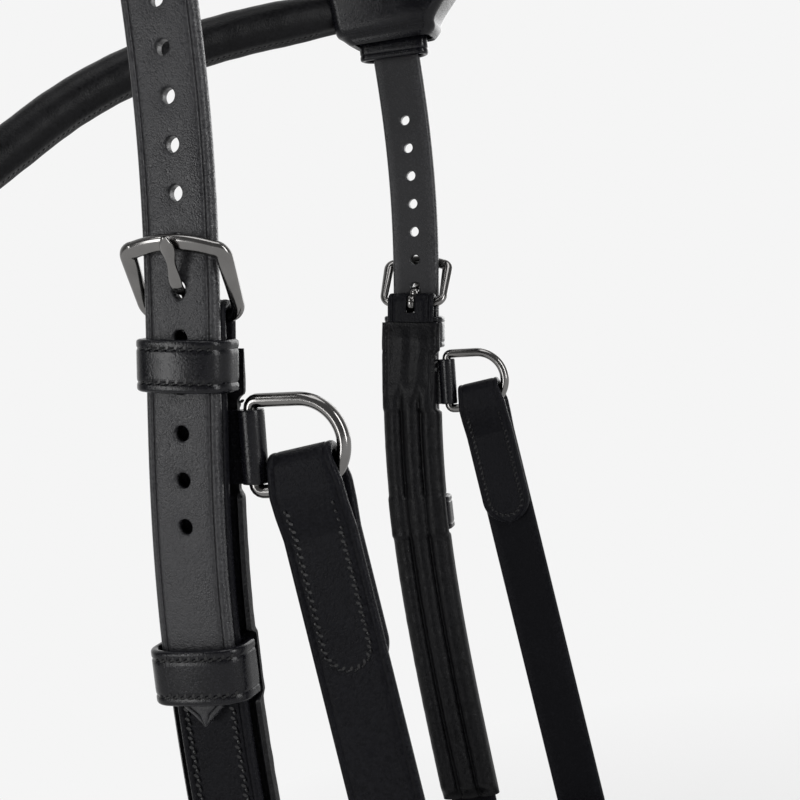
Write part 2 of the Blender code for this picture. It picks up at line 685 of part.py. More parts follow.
def make_buckle_frame(name, pivot):
    """Faceted frame with a round pivot bar."""
    top, lift = buckle_plane()
    line = frame_line(top)
    bar = place(pivot, outward=BAR_OUTWARD)
    up = lift[0] * pivot.along + lift[1] * pivot.outward
    normal = lift[0] * pivot.outward - lift[1] * pivot.along
    points = bar + line[:, :1] * pivot.across + line[:, 1:] * up
    tangents = np.roll(points, -1, axis=0) - np.roll(points, 1, axis=0)
    rings = []
    for (a, b), point, tangent in zip(line, points, tangents):
        side = unit(np.cross(tangent, normal))
        high = ease(b / top)
        in_plane = BAR_RADIUS + high * (BUCKLE_TOP_HALF_HEIGHT - BAR_RADIUS)
        depth = BAR_RADIUS + high * (BUCKLE_TOP_HALF_DEPTH - BAR_RADIUS)
        rings.append([point + in_plane * c * side + depth * s * normal for c, s in OCTAGON_SHARES])
    return loft(name, rings, closed=True)


def tongue_line():
    """Middle line of the tongue as (outward, along): round the bar, out and over the top bar."""
    top, lift = buckle_plane()
    eye = [(BAR_OUTWARD + EYE_RADIUS * cos(t), EYE_RADIUS * sin(t)) for t in turn(90, 360)]
    up_2d = lift[::-1]
    normal_2d = lift * (1, -1)
    crest = np.array((BAR_OUTWARD, 0.0)) + up_2d * (top + BUCKLE_ARCH)
    crest += normal_2d * (BUCKLE_TOP_HALF_DEPTH + FIT + TONGUE_THICK / 2)
    rise = PIVOT_TO_TONGUE_HOLE
    tip = crest + up_2d * (BUCKLE_TOP_HALF_HEIGHT + TONGUE_OVERLAP)
    shank = ((BAR_OUTWARD + EYE_RADIUS, 0.0), (BAR_OUTWARD + EYE_RADIUS, rise - TONGUE_THICK / 2),
             (BILLET_OUTER + TONGUE_THICK / 2, rise + TONGUE_THICK / 4),
             crest - up_2d * BUCKLE_TOP_HALF_HEIGHT, crest, (crest + tip) / 2, tip)
    shank = rounded(shank, (0.0, TONGUE_THICK, 2 * TONGUE_THICK, 0.0, 0.0, 0.0, 0.0))[1:]
    return np.vstack((eye, shank))


def make_buckle_tongue(name, pivot):
    """Tongue curled round the bar, with a leaf-shaped tip."""
    points = np.array([place(pivot, 0, b, a) for a, b in tongue_line()])
    travelled = lengths_along(points) / lengths_along(points)[-1]
    widths = np.interp(travelled, TONGUE_SHARES, (TONGUE_SHANK_WIDTH, TONGUE_SHANK_WIDTH,
                                                  TONGUE_NECK_WIDTH, TONGUE_LEAF_WIDTH, TONGUE_TIP_WIDTH))
    tongue = ribbon(name, points, pivot.across, widths / 2, TONGUE_THICK)
    hang_on(tongue, place(pivot, outward=BAR_OUTWARD))
    return tongue


def slot_for_tongue(piece, pivot):
    """Slot across the fold of a chape, where the tongue swings."""
    half = TONGUE_SHANK_WIDTH / 2 + SLOT_CLEARANCE
    reach = EYE_RADIUS + TONGUE_THICK / 2 + SLOT_CLEARANCE
    low = BAR_OUTWARD - CHAPE_RADIUS - CHAPE_THICK
    outline = box_outline(-reach, CHAPE_RADIUS + CHAPE_THICK, low, BILLET_INNER + CUT_OVERRUN)
    cut(piece, prism("slot", pivot, outline, half))


def chape_fold():
    """The fold round the bar as (outward, along, thickness), from its inner end to its front."""
    spots = [(BAR_OUTWARD - CHAPE_RADIUS, -LINING_TOP_BELOW_PIVOT + FIT, CHAPE_THICK)]
    for t in turn(180, 0):
        spots.append((BAR_OUTWARD + CHAPE_RADIUS * cos(t), CHAPE_RADIUS * sin(t), CHAPE_THICK))
    return spots


def make_cheek_straps():
    """Cheek strap: folded round the buckle bar above and round the noseband below."""
    pivot = cheek_pivot()
    pivot_height = pivot.point[2]
    spots = [(out, pivot_height + up, thick) for out, up, thick in chape_fold()]
    full_at = pivot_height - LINING_TOP_BELOW_PIVOT - CHEEK_THICK
    bottom = NOSEBAND_HEIGHT - NOSEBAND_WIDTH / 2 - FIT - CHEEK_WRAP_SPARE
    for height in np.linspace(full_at, bottom, LINE_SPOTS - 2):
        spots.append((CHEEK_MIDDLE, height, CHEEK_THICK))
    tail = -HALF_FIT - CHEEK_THICK - FIT - CHAPE_THICK / 2
    centre = (CHEEK_MIDDLE + tail) / 2
    radius = (CHEEK_MIDDLE - tail) / 2
    for t in turn(0, -180)[1:-1]:
        thin = CHEEK_THICK + (CHAPE_THICK - CHEEK_THICK) * (-t / pi)
        spots.append((centre + radius * cos(t), bottom + radius * sin(t), thin))
    for height in np.linspace(bottom, CHEEK_TAIL_TOP, 4):
        spots.append((tail, height, CHAPE_THICK))
    stations = [cheek_station(height) for _, height, _ in spots]
    points = [place(s, outward=out) for s, (out, _, _) in zip(stations, spots)]
    halves = np.full(len(spots), STRAP_WIDTH / 2)
    halves[-1] = STRAP_WIDTH / 4
    piece = ribbon("left_cheek_strap", points, [s.across for s in stations], halves,
                   [thick for _, _, thick in spots])
    slot_for_tongue(piece, pivot)
    both_sides(piece, LEATHER)


def dee_station():
    """Frame of the dee: its bar runs along, and its bow stands out across."""
    cheek = cheek_station(DEE_STATION_HEIGHT)
    middle = place(cheek, LINING_WIDTH / 2 + DEE_BAR_OUTSIDE_LINING, 0, -HALF_FIT - TAB_THICK / 2)
    along = np.array((0.0, sin(DEE_TILT), cos(DEE_TILT)))
    across = np.array((0.0, cos(DEE_TILT), -sin(DEE_TILT)))
    return Station(middle, along, across, np.array((1.0, 0.0, 0.0)))


def make_dees():
    """Round wire bent to a D, with its straight bar in the leather tab."""
    station = dee_station()
    corner = DEE_CORNER_RADIUS
    bend = [(corner * (1 - cos(t)), DEE_HALF_HEIGHT - corner * (1 - sin(t))) for t in turn(0, 90)]
    bow = [(DEE_STRAIGHT + DEE_HALF_HEIGHT * sin(t / 2), DEE_HALF_HEIGHT * cos(t / 2))
           for t in turn(0, 360)]
    line = bend + bow + [(a, -b) for a, b in bend[::-1]]
    points = np.array([place(station, a, b) for a, b in line])
    tangents = np.roll(points, -1, axis=0) - np.roll(points, 1, axis=0)
    rings = []
    for point, tangent in zip(points, tangents):
        side = unit(np.cross(tangent, station.outward))
        rings.append([point + a * side + b * station.outward
                      for a, b in circle_outline(DEE_WIRE_RADIUS, WIRE_SIDES)])
    piece = loft("left_dee", rings, closed=True)
    hang_on(piece, station.point)
    both_sides(piece, STEEL)


def tab_outline(spare):
    """Outline of the wrapped tab as (across, outward) places, with room all round it."""
    half = TAB_THICK / 2 + spare
    radius = TAB_SLEEVE_RADIUS + spare
    start = atan2(half, -sqrt(radius**2 - half**2))
    outline = [(-TAB_TAIL - spare, -half), (-TAB_TAIL - spare, half)]
    outline += [(radius * cos(start * share), radius * sin(start * share))
                for share in np.linspace(1, -1, ROLL_SIDES + 1)]
    return outline


def make_dee_tabs():
    """Leather wrapped round the dee's bar, with its tail sewn between strap and lining."""
    station = dee_station()
    piece = prism("left_dee_tab", station, tab_outline(0.0), TAB_HALF_HEIGHT, axis="along")
    bore = circle_outline(DEE_WIRE_RADIUS + BAR_CLEARANCE, ROLL_SIDES)
    cut(piece, prism("bore", station, bore, TAB_HALF_HEIGHT + CUT_OVERRUN, axis="along"))
    both_sides(piece, LEATHER)


def keeper_stations():
    """Upper and lower keeper: name, station, length and room at the sides."""
    return (("left_upper_keeper", cheek_station(UPPER_KEEPER_HEIGHT), UPPER_KEEPER_LENGTH,
             KEEPER_SIDE_ROOM),
            ("left_lower_keeper", cheek_station(LOWER_KEEPER_HEIGHT), LOWER_KEEPER_LENGTH,
             LOWER_KEEPER_SIDE_ROOM))


def make_keepers():
    """Sewn keepers that pass behind the cheek strap and over the billet."""
    for name, station, length, room in keeper_stations():
        piece = band(name, station, STRAP_WIDTH / 2 + room, -HALF_FIT, BILLET_OUTER + FIT, length)
        both_sides(piece, LEATHER)


def make_cheek_linings():
    """Soft lining: a flat panel behind the buckle, then three padded ridges."""
    top = cheek_pivot().point[2] - LINING_TOP_BELOW_PIVOT
    panel_end = top - LINING_PANEL_LENGTH
    heights = np.concatenate((np.linspace(top, panel_end, LINE_SPOTS // 5),
                              np.linspace(panel_end, LINING_FOOT, LINE_SPOTS)[1:]))
    rings = []
    for height in heights:
        station = cheek_station(height)
        full = ease((panel_end + LINING_THICK - height) / (2 * LINING_THICK))
        ends = ease(min(top - height, height - LINING_FOOT) / LINING_THICK)
        share = LINING_PANEL_SHARE + full * (1 - LINING_PANEL_SHARE)
        thick = LINING_THICK * (LINING_END_SHARE + ends * (share - LINING_END_SHARE))
        half = LINING_WIDTH / 2
        ring = []
        for (a, t), (b, r) in zip(PANEL_SHARES, RIDGE_SHARES):
            depth = t + full * (r - t)
            ring.append(place(station, (a + full * (b - a)) * half, 0, depth * thick - HALF_FIT))
        rings.append(ring)
    piece = loft("left_cheek_lining", rings)
    pocket = KEEPER_THICK + FIT
    for _, station, length, _ in keeper_stations():
        outline = box_outline(-length / 2 - FIT, length / 2 + FIT, -HALF_FIT - pocket, CUT_OVERRUN)
        cut(piece, prism("pocket", station, outline, LINING_WIDTH))
    outline = tab_outline(FIT)
    outline[1] = (outline[1][0], CUT_OVERRUN)
    outline.insert(2, (outline[2][0], CUT_OVERRUN))
    cut(piece, prism("pocket", dee_station(), outline, TAB_HALF_HEIGHT + FIT, axis="along"))
    both_sides(piece, SOFT_LEATHER)


def bit_station():
    """Frame of the bit strap, at the centre of the dee's bow where it turns."""
    dee = dee_station()
    along = np.array((0.0, -sin(BIT_STRAP_LEAN), cos(BIT_STRAP_LEAN)))
    across = np.array((0.0, cos(BIT_STRAP_LEAN), sin(BIT_STRAP_LEAN)))
    return Station(place(dee, DEE_STRAIGHT), along, across, dee.outward)


def bit_layers():
    """Outward places of the bit strap's leg, of its tail and of the hook's plate between them."""
    leg = HALF_FIT + BIT_STRAP_THICK / 2
    plate = leg - BIT_STRAP_THICK / 2 - FIT - HOOK_THICK / 2
    tail = plate - HOOK_THICK / 2 - FIT - BIT_STRAP_THICK / 2
    return leg, plate, tail


def make_bit_straps():
    """Ribbon that folds over the dee, runs down and folds round the bit ring to its hook."""
    station = bit_station()
    leg, _, tail = bit_layers()
    fold_tail = -leg
    fold = rounded(((-FOLD_SIDE, -FOLD_DEPTH), (-FOLD_SIDE, -FOLD_TOP), (FOLD_SIDE, -FOLD_TOP),
                    (FOLD_SIDE, -FOLD_DEPTH)), FOLD_CORNER_RADIUS, 5)
    upper_tail = [(fold_tail, -FOLD_TAIL_LENGTH + (1 - s) * POINT_LENGTH)
                  for s, _ in ROUND_END_SHARES[::-1]]
    upper_tail.append((fold_tail, -FOLD_CLOSED_AT))
    middle = (leg + tail) / 2
    foot = -BIT_LOOP_BOTTOM + BIT_LOOP_RADIUS
    neck = -BIT_HOOK_DROP - BIT_KEEPER_GAP - BIT_KEEPER_LENGTH / 2 - FIT
    loop = rounded(((leg, neck + BIT_STRAP_THICK), (leg, neck), (middle + BIT_LOOP_RADIUS, foot)),
                   BIT_LOOP_RADIUS)
    loop = [tuple(point) for point in loop]
    # The arc's spots are set between the even ones, so that its lowest facet is level
    angles = turn(0, -180)
    loop += [(middle + BIT_LOOP_RADIUS * cos(t), foot + BIT_LOOP_RADIUS * sin(t))
             for t in (angles[1:] + angles[:-1]) / 2]
    loop += [(2 * middle - out, height) for out, height in loop[4::-1]]
    long_leg = [(leg, height) for height in np.linspace(-FOLD_CLOSED_AT, loop[0][1], 9)[:-1]]
    tip = -BIT_HOOK_DROP + BIT_TAIL_ABOVE_HOOK
    heights, tail_halves = pointed(loop[-1][1], tip, LINE_SPOTS // 5)
    lower_tail = [(tail, height) for height in heights[1:]]
    path = np.array(upper_tail + [tuple(point) for point in fold] + long_leg + loop + lower_tail)
    halves = np.interp(-path[:, 1], (FOLD_TOP, 2 * FOLD_TOP, FOLD_FLARED_AT),
                       (FOLD_HALF_WIDTH, FOLD_HALF_WIDTH, STRAP_WIDTH / 2))
    halves[:3] = [STRAP_WIDTH / 2 * w for _, w in ROUND_END_SHARES[:0:-1]]
    halves[1 - len(tail_halves):] = tail_halves[1:]
    points = [place(station, 0, along, outward) for outward, along in path]
    piece = ribbon("left_bit_strap", points, station.across, halves, BIT_STRAP_THICK)
    hole = Station(place(station, 0, -BIT_HOOK_DROP, tail), station.along, station.across, station.outward)
    cut(piece, prism("punch", hole, circle_outline(HOLE_DIAMETER / 2, HOLE_SIDES),
                     BIT_STRAP_THICK / 2 + FIT, axis="outward"))
    hang_on(piece, station.point)
    both_sides(piece, LEATHER)


def make_bit_hooks():
    """Hook stud: a plate behind the strap whose neck passes through the tail's hole."""
    station = bit_station()
    _, plate, tail = bit_layers()
    out = tail - BIT_STRAP_THICK / 2 - FIT - HOOK_THICK / 2
    neck = -BIT_HOOK_DROP
    path = [(plate, neck + HOOK_PLATE_LENGTH), (plate, neck + HOOK_PLATE_FOOT)]
    path += [tuple(p) for p in smooth(((plate, neck + HOOK_THICK), (plate, neck), (tail, neck),
                                       (out, neck), (out, neck + HOOK_THICK)), 2)]
    path.append((out, neck + HOOK_HEAD_LENGTH))
    path = np.array(path)
    travelled = lengths_along(path)
    in_neck = (path[:, 0] < plate - HALF_FIT) & (path[:, 1] < neck + 2 * HOOK_THICK)
    widths = np.where(in_neck, HOOK_NECK_WIDTH, HOOK_PLATE_WIDTH)
    widths = np.where(travelled > travelled[-1] - HOOK_HEAD_LENGTH, HOOK_HEAD_WIDTH, widths)
    points = [place(station, 0, along, outward) for outward, along in path]
    piece = ribbon("left_bit_hook", points, station.across, widths / 2, HOOK_THICK)
    hang_on(piece, station.point)
    both_sides(piece, STEEL)


def make_bit_keepers():
    """Small sewn keepers above and below the hook."""
    station = bit_station()
    leg, _, tail = bit_layers()
    low = tail - BIT_STRAP_THICK / 2 - FIT
    high = leg + BIT_STRAP_THICK / 2 + FIT
    for name, drop in (("left_bit_upper_keeper", BIT_HOOK_DROP - BIT_KEEPER_GAP),
                       ("left_bit_lower_keeper", BIT_HOOK_DROP + BIT_KEEPER_GAP)):
        spot = Station(place(station, 0, -drop), station.along, station.across, station.outward)
        piece = band(name, spot, STRAP_WIDTH / 2 + KEEPER_SIDE_ROOM, low, high, BIT_KEEPER_LENGTH,
                     CHAPE_THICK)
        hang_on(piece, station.point)
        both_sides(piece, LEATHER)


def nose_line(half_span, rear, side, front, count):
    """Plan of the noseband: straight at the cheeks, then a squared ellipse round the nose."""
    bend = [(half_span * cos(t) ** NOSE_SQUARE_SHARE, side + (front - side) * sin(t) ** NOSE_SQUARE_SHARE)
            for t in np.linspace(0, pi / 2, NOSE_SPOTS)[:-1]]
    spots = [(half_span, rear)] + bend + [(0.0, front)]
    spots += [(-x, y) for x, y in reversed(spots[:-1])]
    return resample(np.array(spots), count)


def plan_stations(line, height):
    """Frames along a level curve: along it, up, and away from the head."""
    tangents = np.gradient(line, axis=0)
    stations = []
    for (x, y), (dx, dy) in zip(line, tangents):
        along = unit((dx, dy, 0.0))
        outward = np.cross(along, (0, 0, 1))
        middle = np.array((0.0, sweep(height), height))
        if np.dot(outward, np.array((x, y, height)) - middle) < 0:
            outward = -outward
        stations.append(Station(np.array((x, y, height)), along, np.array((0.0, 0.0, 1.0)), outward))
    return stations


def make_noseband():
    """Noseband: a leather band that the cheek straps fold round, and the pad inside it."""
    cheek_y = sweep(NOSEBAND_HEIGHT)
    line = nose_line(HALF_SPAN - CHEEK_MIDDLE, cheek_y + FIT, cheek_y - STRAP_WIDTH,
                     cheek_y - NOSEBAND_FRONT_REACH, NOSE_SPOTS)
    stations = plan_stations(line, NOSEBAND_HEIGHT)
    points = [s.point for s in stations]
    finish(ribbon("noseband_band", points, (0, 0, 1), NOSEBAND_WIDTH / 2, CHEEK_THICK), LEATHER)
    inward = -(CHEEK_THICK / 2 + FIT + NOSEBAND_PAD_THICK / 2)
    points = [place(s, outward=inward) for s in stations]
    points = [points[0] + (0, NOSEBAND_REAR_OVERLAP, 0)] + points
    points = points + [points[-1] + (0, NOSEBAND_REAR_OVERLAP, 0)]
    pad = ribbon("noseband_padding", points, (0, 0, 1), NOSEBAND_WIDTH / 2 - FIT, NOSEBAND_PAD_THICK,
                 shares=NOSE_PAD_SHARES)
    cheek = cheek_station(NOSEBAND_HEIGHT)
    for side in (1, -1):
        spot = Station(cheek.point * (side, 1, 1), np.array((0.0, 0.0, 1.0)), np.array((0.0, 1.0, 0.0)),
                       np.array((side, 0.0, 0.0)))
        deep = HALF_FIT + CHEEK_THICK + FIT + CHAPE_THICK + FIT
        outline = box_outline(-STRAP_WIDTH / 2 - 2 * FIT, STRAP_WIDTH / 2 + 2 * FIT, -deep, CUT_OVERRUN)
        cut(pad, prism("pocket", spot, outline, NOSEBAND_WIDTH, axis="along"))
    finish(pad, SOFT_LEATHER)


def chin_line():
    """Plan of the chin strap, from the noseband's left end round behind the jaw to its right end."""
    x = HALF_SPAN - CHEEK_MIDDLE
    start = sweep(NOSEBAND_HEIGHT) + 2 * FIT
    rear = start + CHIN_REACH
    corners = ((x, start), (x, start + CHIN_SIDE_LENGTH), (CHIN_REAR_HALF, rear), (-CHIN_REAR_HALF, rear),
               (-x, start + CHIN_SIDE_LENGTH), (-x, start))
    return resample(rounded(corners, CHIN_CORNER_RADIUS, WIRE_SIDES), CHIN_SPOTS)


def chin_station(line, distance):
    """Frame on the chin strap, a distance from its left end."""
    travelled = lengths_along(line)
    step = STRAP_WIDTH / 8
    here, before, after = (np.array([np.interp(d, travelled, line[:, k]) for k in range(2)])
                           for d in (distance, distance - step, distance + step))
    along = unit((*(after - before), 0.0))
    outward = np.cross(along, (0, 0, 1))
    point = np.array((*here, NOSEBAND_HEIGHT)) - CHEEK_MIDDLE * outward
    return Station(point, along, np.array((0.0, 0.0, 1.0)), outward)


def make_chin_buckle_side(line, pivot):
    """Left part of the chin strap, folded round the buckle's bar, and the keeper on it."""
    spots = [(out, CHIN_PIVOT_DISTANCE + up, thick) for out, up, thick in chape_fold()]
    full_at = CHIN_PIVOT_DISTANCE - LINING_TOP_BELOW_PIVOT - CHEEK_THICK
    for distance in np.linspace(full_at, FIT, LINE_SPOTS // 2):
        spots.append((CHEEK_MIDDLE, distance, CHEEK_THICK))
    points = [place(chin_station(line, distance), outward=out) for out, distance, _ in spots]
    strap = ribbon("chin_buckle_strap", points, (0, 0, 1), STRAP_WIDTH / 2, [t for _, _, t in spots])
    slot_for_tongue(strap, pivot)
    finish(strap, LEATHER)
    spot = chin_station(line, CHIN_PIVOT_DISTANCE - CHIN_KEEPER_PAST_PIVOT)
    keeper = band("chin_keeper", spot, STRAP_WIDTH / 2 + KEEPER_SIDE_ROOM, -HALF_FIT, BILLET_OUTER + FIT,
                  CHIN_KEEPER_LENGTH)
    finish(keeper, LEATHER)


def chin_billet_layer(distance):
    """Outward place and thickness of the chin billet, which comes down to the band's level."""
    beyond = CHIN_PIVOT_DISTANCE + BUCKLE_RISE + BUCKLE_TOP_HALF_HEIGHT
    lift = 1 - ease((distance - beyond) / CHIN_LAYER_DROP_LENGTH)
    return (CHEEK_MIDDLE + lift * (BILLET_MIDDLE - CHEEK_MIDDLE),
            CHEEK_THICK + lift * (BILLET_THICK - CHEEK_THICK))


def make_chin_billet_side(line):
    """Right part of the chin strap, with its holes and its point."""
    tip = CHIN_PIVOT_DISTANCE - CHIN_POINT_PAST_PIVOT
    distances, halves = pointed(lengths_along(line)[-1] - FIT, tip, 2 * LINE_SPOTS)
    layers = [chin_billet_layer(distance) for distance in distances]
    points = [place(chin_station(line, distance), outward=out)
              for distance, (out, _) in zip(distances, layers)]
    strap = ribbon("chin_billet_strap", points, (0, 0, 1), halves, [thick for _, thick in layers])
    tongue_hole = CHIN_PIVOT_DISTANCE + PIVOT_TO_TONGUE_HOLE
    for k in range(-1, CHIN_HOLE_COUNT - 1):
        distance = tongue_hole + k * HOLE_PITCH
        out, _ = chin_billet_layer(distance)
        punch(strap, (chin_station(line, distance),), out, (0.0 if k else TONGUE_HOLE_STRETCH,))
    finish(strap, LEATHER)


def make_chin_strap():
    """Chin strap in two parts, joined by a buckle on the left."""
    line = chin_line()
    pivot = chin_station(line, CHIN_PIVOT_DISTANCE)
    finish(make_buckle_frame("chin_buckle_frame", pivot), STEEL)
    finish(make_buckle_tongue("chin_buckle_tongue", pivot), STEEL)
    make_chin_buckle_side(line, pivot)
    make_chin_billet_side(line)


def make_cheek_buckles():
    """Buckle frame and tongue on both cheeks."""
    pivot = cheek_pivot()
    both_sides(make_buckle_frame("left_cheek_buckle_frame", pivot), STEEL)
    both_sides(make_buckle_tongue("left_cheek_buckle_tongue", pivot), STEEL)


def main():
    """Build the whole bridle."""
    for old in list(bpy.data.objects):
        bpy.data.objects.remove(old)
    make_headpiece()
    make_end_bands()
    make_browband_loops()
    make_browband()
    make_billets()
    make_cheek_straps()
    make_cheek_buckles()
    make_keepers()
    make_cheek_linings()
    make_dees()
    make_dee_tabs()
    make_bit_straps()
    make_bit_hooks()
    make_bit_keepers()
    make_noseband()
    make_chin_strap()


main()
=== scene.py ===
# %% [markdown]
# # A horse bridle in black leather
# A bridle is a set of straps that holds a bit in the horse's mouth. A padded headpiece lies
# behind the ears, a browband crosses the forehead, two cheeks hang down to a noseband, and a
# bit strap hangs from a dee on each cheek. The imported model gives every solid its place. This
# lesson dresses each one as sewn leather, padding or steel, with shapes worked out from
# formulas, so that one size carries through every strap that depends on it.

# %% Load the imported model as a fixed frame
from collections import namedtuple
from math import atan2, cos, pi, radians, sin, sqrt, tan

import bpy
import numpy as np
from mathutils import Matrix, Vector


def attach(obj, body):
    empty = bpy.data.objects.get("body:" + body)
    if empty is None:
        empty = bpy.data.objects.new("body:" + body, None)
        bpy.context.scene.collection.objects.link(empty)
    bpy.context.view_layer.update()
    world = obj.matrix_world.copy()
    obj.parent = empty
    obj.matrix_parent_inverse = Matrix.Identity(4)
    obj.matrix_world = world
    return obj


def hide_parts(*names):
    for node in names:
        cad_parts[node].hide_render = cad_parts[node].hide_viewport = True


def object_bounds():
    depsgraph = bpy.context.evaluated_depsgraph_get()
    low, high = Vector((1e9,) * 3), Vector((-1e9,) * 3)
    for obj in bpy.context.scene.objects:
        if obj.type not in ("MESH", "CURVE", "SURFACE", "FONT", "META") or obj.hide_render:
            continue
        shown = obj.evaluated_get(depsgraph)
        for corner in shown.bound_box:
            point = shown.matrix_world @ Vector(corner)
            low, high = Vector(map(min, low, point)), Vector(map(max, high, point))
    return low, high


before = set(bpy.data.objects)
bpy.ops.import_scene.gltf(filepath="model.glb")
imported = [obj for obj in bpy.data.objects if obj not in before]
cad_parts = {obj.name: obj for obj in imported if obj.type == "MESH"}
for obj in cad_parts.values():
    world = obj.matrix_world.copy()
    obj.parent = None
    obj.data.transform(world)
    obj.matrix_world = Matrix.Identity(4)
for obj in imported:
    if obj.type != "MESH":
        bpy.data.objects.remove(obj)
CAD_BOX = [list(corner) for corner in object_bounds()]
print("solids", len(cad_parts), "box", CAD_BOX)

# %% [markdown]
# ## Camera
# The camera stands a little over a third of a metre off the horse's left cheek and looks
# across to the far one. It could be placed by eye. It was worked out from the straps' even
# width and the even pitch of their holes instead, so it is written as a place, a direction of
# view and an up direction, which become the rows of its matrix.

# %% Camera
CAMERA_PLACE = (0.3506, 0.1068, -0.2428)
CAMERA_VIEW = Vector((-0.95496, -0.29498, -0.03235))
CAMERA_UP = Vector((-0.09604, 0.20409, 0.97423))
CAMERA_LENS = 51.9

scene = bpy.context.scene
camera = bpy.data.objects.new("camera", bpy.data.cameras.new("camera"))
scene.collection.objects.link(camera)
camera.data.lens = CAMERA_LENS
turned = Matrix((CAMERA_VIEW.cross(CAMERA_UP), CAMERA_UP, -CAMERA_VIEW)).transposed().to_4x4()
camera.matrix_world = Matrix.Translation(CAMERA_PLACE) @ turned
scene.camera = camera
scene.view_settings.view_transform = "Standard"
print("camera", tuple(camera.location), "lens", CAMERA_LENS)

# %% [markdown]
# ## Sizes
# Every length that the leatherworker and the smith would measure is named once here, in
# millimetres, and the places that follow from them are worked out below. Lengths typed where
# they are used would be shorter, but two layers that share one would soon disagree.

# %% Sizes
MM = 0.001
FIT = 0.3 * MM
HALF_FIT = FIT / 2
HALF_SPAN = 98.0 * MM
CROWN_DROP = 117.0 * MM
POLL_PAD_THICK = 12.0 * MM
CHEEK_SWEEP = 20.0 * MM
BEND_DROP = 232.0 * MM
BEND_SPAN = 83.0 * MM
STRAP_WIDTH = 19.0 * MM
BILLET_THICK = 3.6 * MM
CHEEK_THICK = 2.8 * MM
CHAPE_THICK = 2.0 * MM
LINING_THICK = 6.5 * MM
LINING_WIDTH = 24.0 * MM
KEEPER_THICK = 2.1 * MM
HEADPIECE_THICK = 3.0 * MM
HEADPIECE_REAR_HALF = 28.0 * MM
HEADPIECE_FRONT_HALF = 25.0 * MM
HEADPIECE_EAR_HALF = 16.0 * MM
HEADPIECE_END_HALF = 13.5 * MM
HEADPIECE_PAD_MARGIN = 2.5 * MM
HEADPIECE_PAD_END_THICK = 5.0 * MM
HEADPIECE_END_HEIGHT = -109.0 * MM
HEADPIECE_NECK_LENGTH = 9.0 * MM
EAR_CUT_LENGTH = 62.0 * MM
POLL_FLAT_HALF = 12.0 * MM
BILLET_ROOT_REACH = 134.0 * MM
LAYER_RISE_LENGTH = 24.0 * MM
END_BAND_WIDTH = 28.0 * MM
END_BAND_LENGTH = 13.5 * MM
END_BAND_LEAN = radians(6)
LOOP_TOP = -92.0 * MM
LOOP_BOTTOM = -118.0 * MM
LOOP_MOUTH_HALF = 17.0 * MM
LOOP_LIP_SWELL = 2.2 * MM
BROWBAND_DIAMETER = 17.5 * MM
BROWBAND_END_DIAMETER = 15.5 * MM
BROWBAND_HEIGHT = -102.0 * MM
BROWBAND_REACH = 135.0 * MM
BROWBAND_SAG = 66.0 * MM
FIRST_HOLE_HEIGHT = -149.0 * MM
HOLE_PITCH = 11.3 * MM
HOLE_DIAMETER = 4.0 * MM
HOLE_COUNT = 12
TONGUE_HOLE = 6
POINT_BELOW_LAST_HOLE = 48.5 * MM
POINT_LENGTH = 9.5 * MM
BAR_RADIUS = 1.6 * MM
BAR_CLEARANCE = 0.25 * MM
BUCKLE_SIDE_RADIUS = 1.7 * MM
BUCKLE_TOP_HALF_HEIGHT = 2.2 * MM
BUCKLE_TOP_HALF_DEPTH = 1.5 * MM
BUCKLE_INNER_WIDTH = 21.2 * MM
BUCKLE_RISE = 15.6 * MM
BUCKLE_ARCH = 1.8 * MM
BUCKLE_TOP_CORNER = 2.2 * MM
BUCKLE_FOOT_CORNER = 3.6 * MM
PIVOT_TO_TONGUE_HOLE = 6.0 * MM
TONGUE_THICK = 1.7 * MM
TONGUE_OVERLAP = 0.8 * MM
SLOT_HALF = 1.85 * MM
LINING_TOP_BELOW_PIVOT = 7.6 * MM
LINING_PANEL_LENGTH = 27.0 * MM
LINING_FOOT = -424.0 * MM
KEEPER_SIDE_ROOM = 0.5 * MM
LOWER_KEEPER_SIDE_ROOM = 1.1 * MM
UPPER_KEEPER = (-232.2 * MM, 12.6 * MM, KEEPER_SIDE_ROOM)
LOWER_KEEPER = (-305.5 * MM, 13.6 * MM, LOWER_KEEPER_SIDE_ROOM)
DEE_WIRE_RADIUS = 1.7 * MM
DEE_HALF_HEIGHT = 11.0 * MM
DEE_STRAIGHT = 12.1 * MM
DEE_CORNER_RADIUS = 1.9 * MM
DEE_TILT = radians(9.5)
DEE_STATION_HEIGHT = -251.4 * MM
DEE_BAR_OUTSIDE_LINING = 2.9 * MM
TAB_THICK = 1.6 * MM
TAB_SLEEVE_RADIUS = 3.3 * MM
TAB_TAIL = 24.0 * MM
BIT_STRAP_THICK = 2.4 * MM
BIT_STRAP_LEAN = radians(1.0)
FOLD_HALF_WIDTH = 8.3 * MM
FOLD_TOP = 1.7 * MM
FOLD_SIDE = 3.3 * MM
FOLD_CORNER_RADIUS = 3.0 * MM
FOLD_DEPTH = 13.5 * MM
FOLD_FLARED_AT = 10.1 * MM
FOLD_CLOSED_AT = 20.0 * MM
FOLD_TAIL_LENGTH = 58.0 * MM
BIT_HOOK_DROP = 199.0 * MM
BIT_KEEPER_GAP = 12.0 * MM
BIT_KEEPER_LENGTH = 8.0 * MM
BIT_LOOP_BOTTOM = 240.0 * MM
BIT_LOOP_RADIUS = 8.2 * MM
BIT_TAIL_ABOVE_HOOK = 23.0 * MM
HOOK_THICK = 0.8 * MM
HOOK_PLATE_LENGTH = 9.0 * MM
HOOK_HEAD_LENGTH = 5.0 * MM
NOSEBAND_HEIGHT = -447.0 * MM
NOSEBAND_WIDTH = 30.0 * MM
NOSEBAND_PAD_THICK = 6.0 * MM
NOSEBAND_FRONT_REACH = 112.0 * MM
NOSEBAND_REAR_OVERLAP = 9.0 * MM
CHEEK_WRAP_SPARE = 2.0 * MM
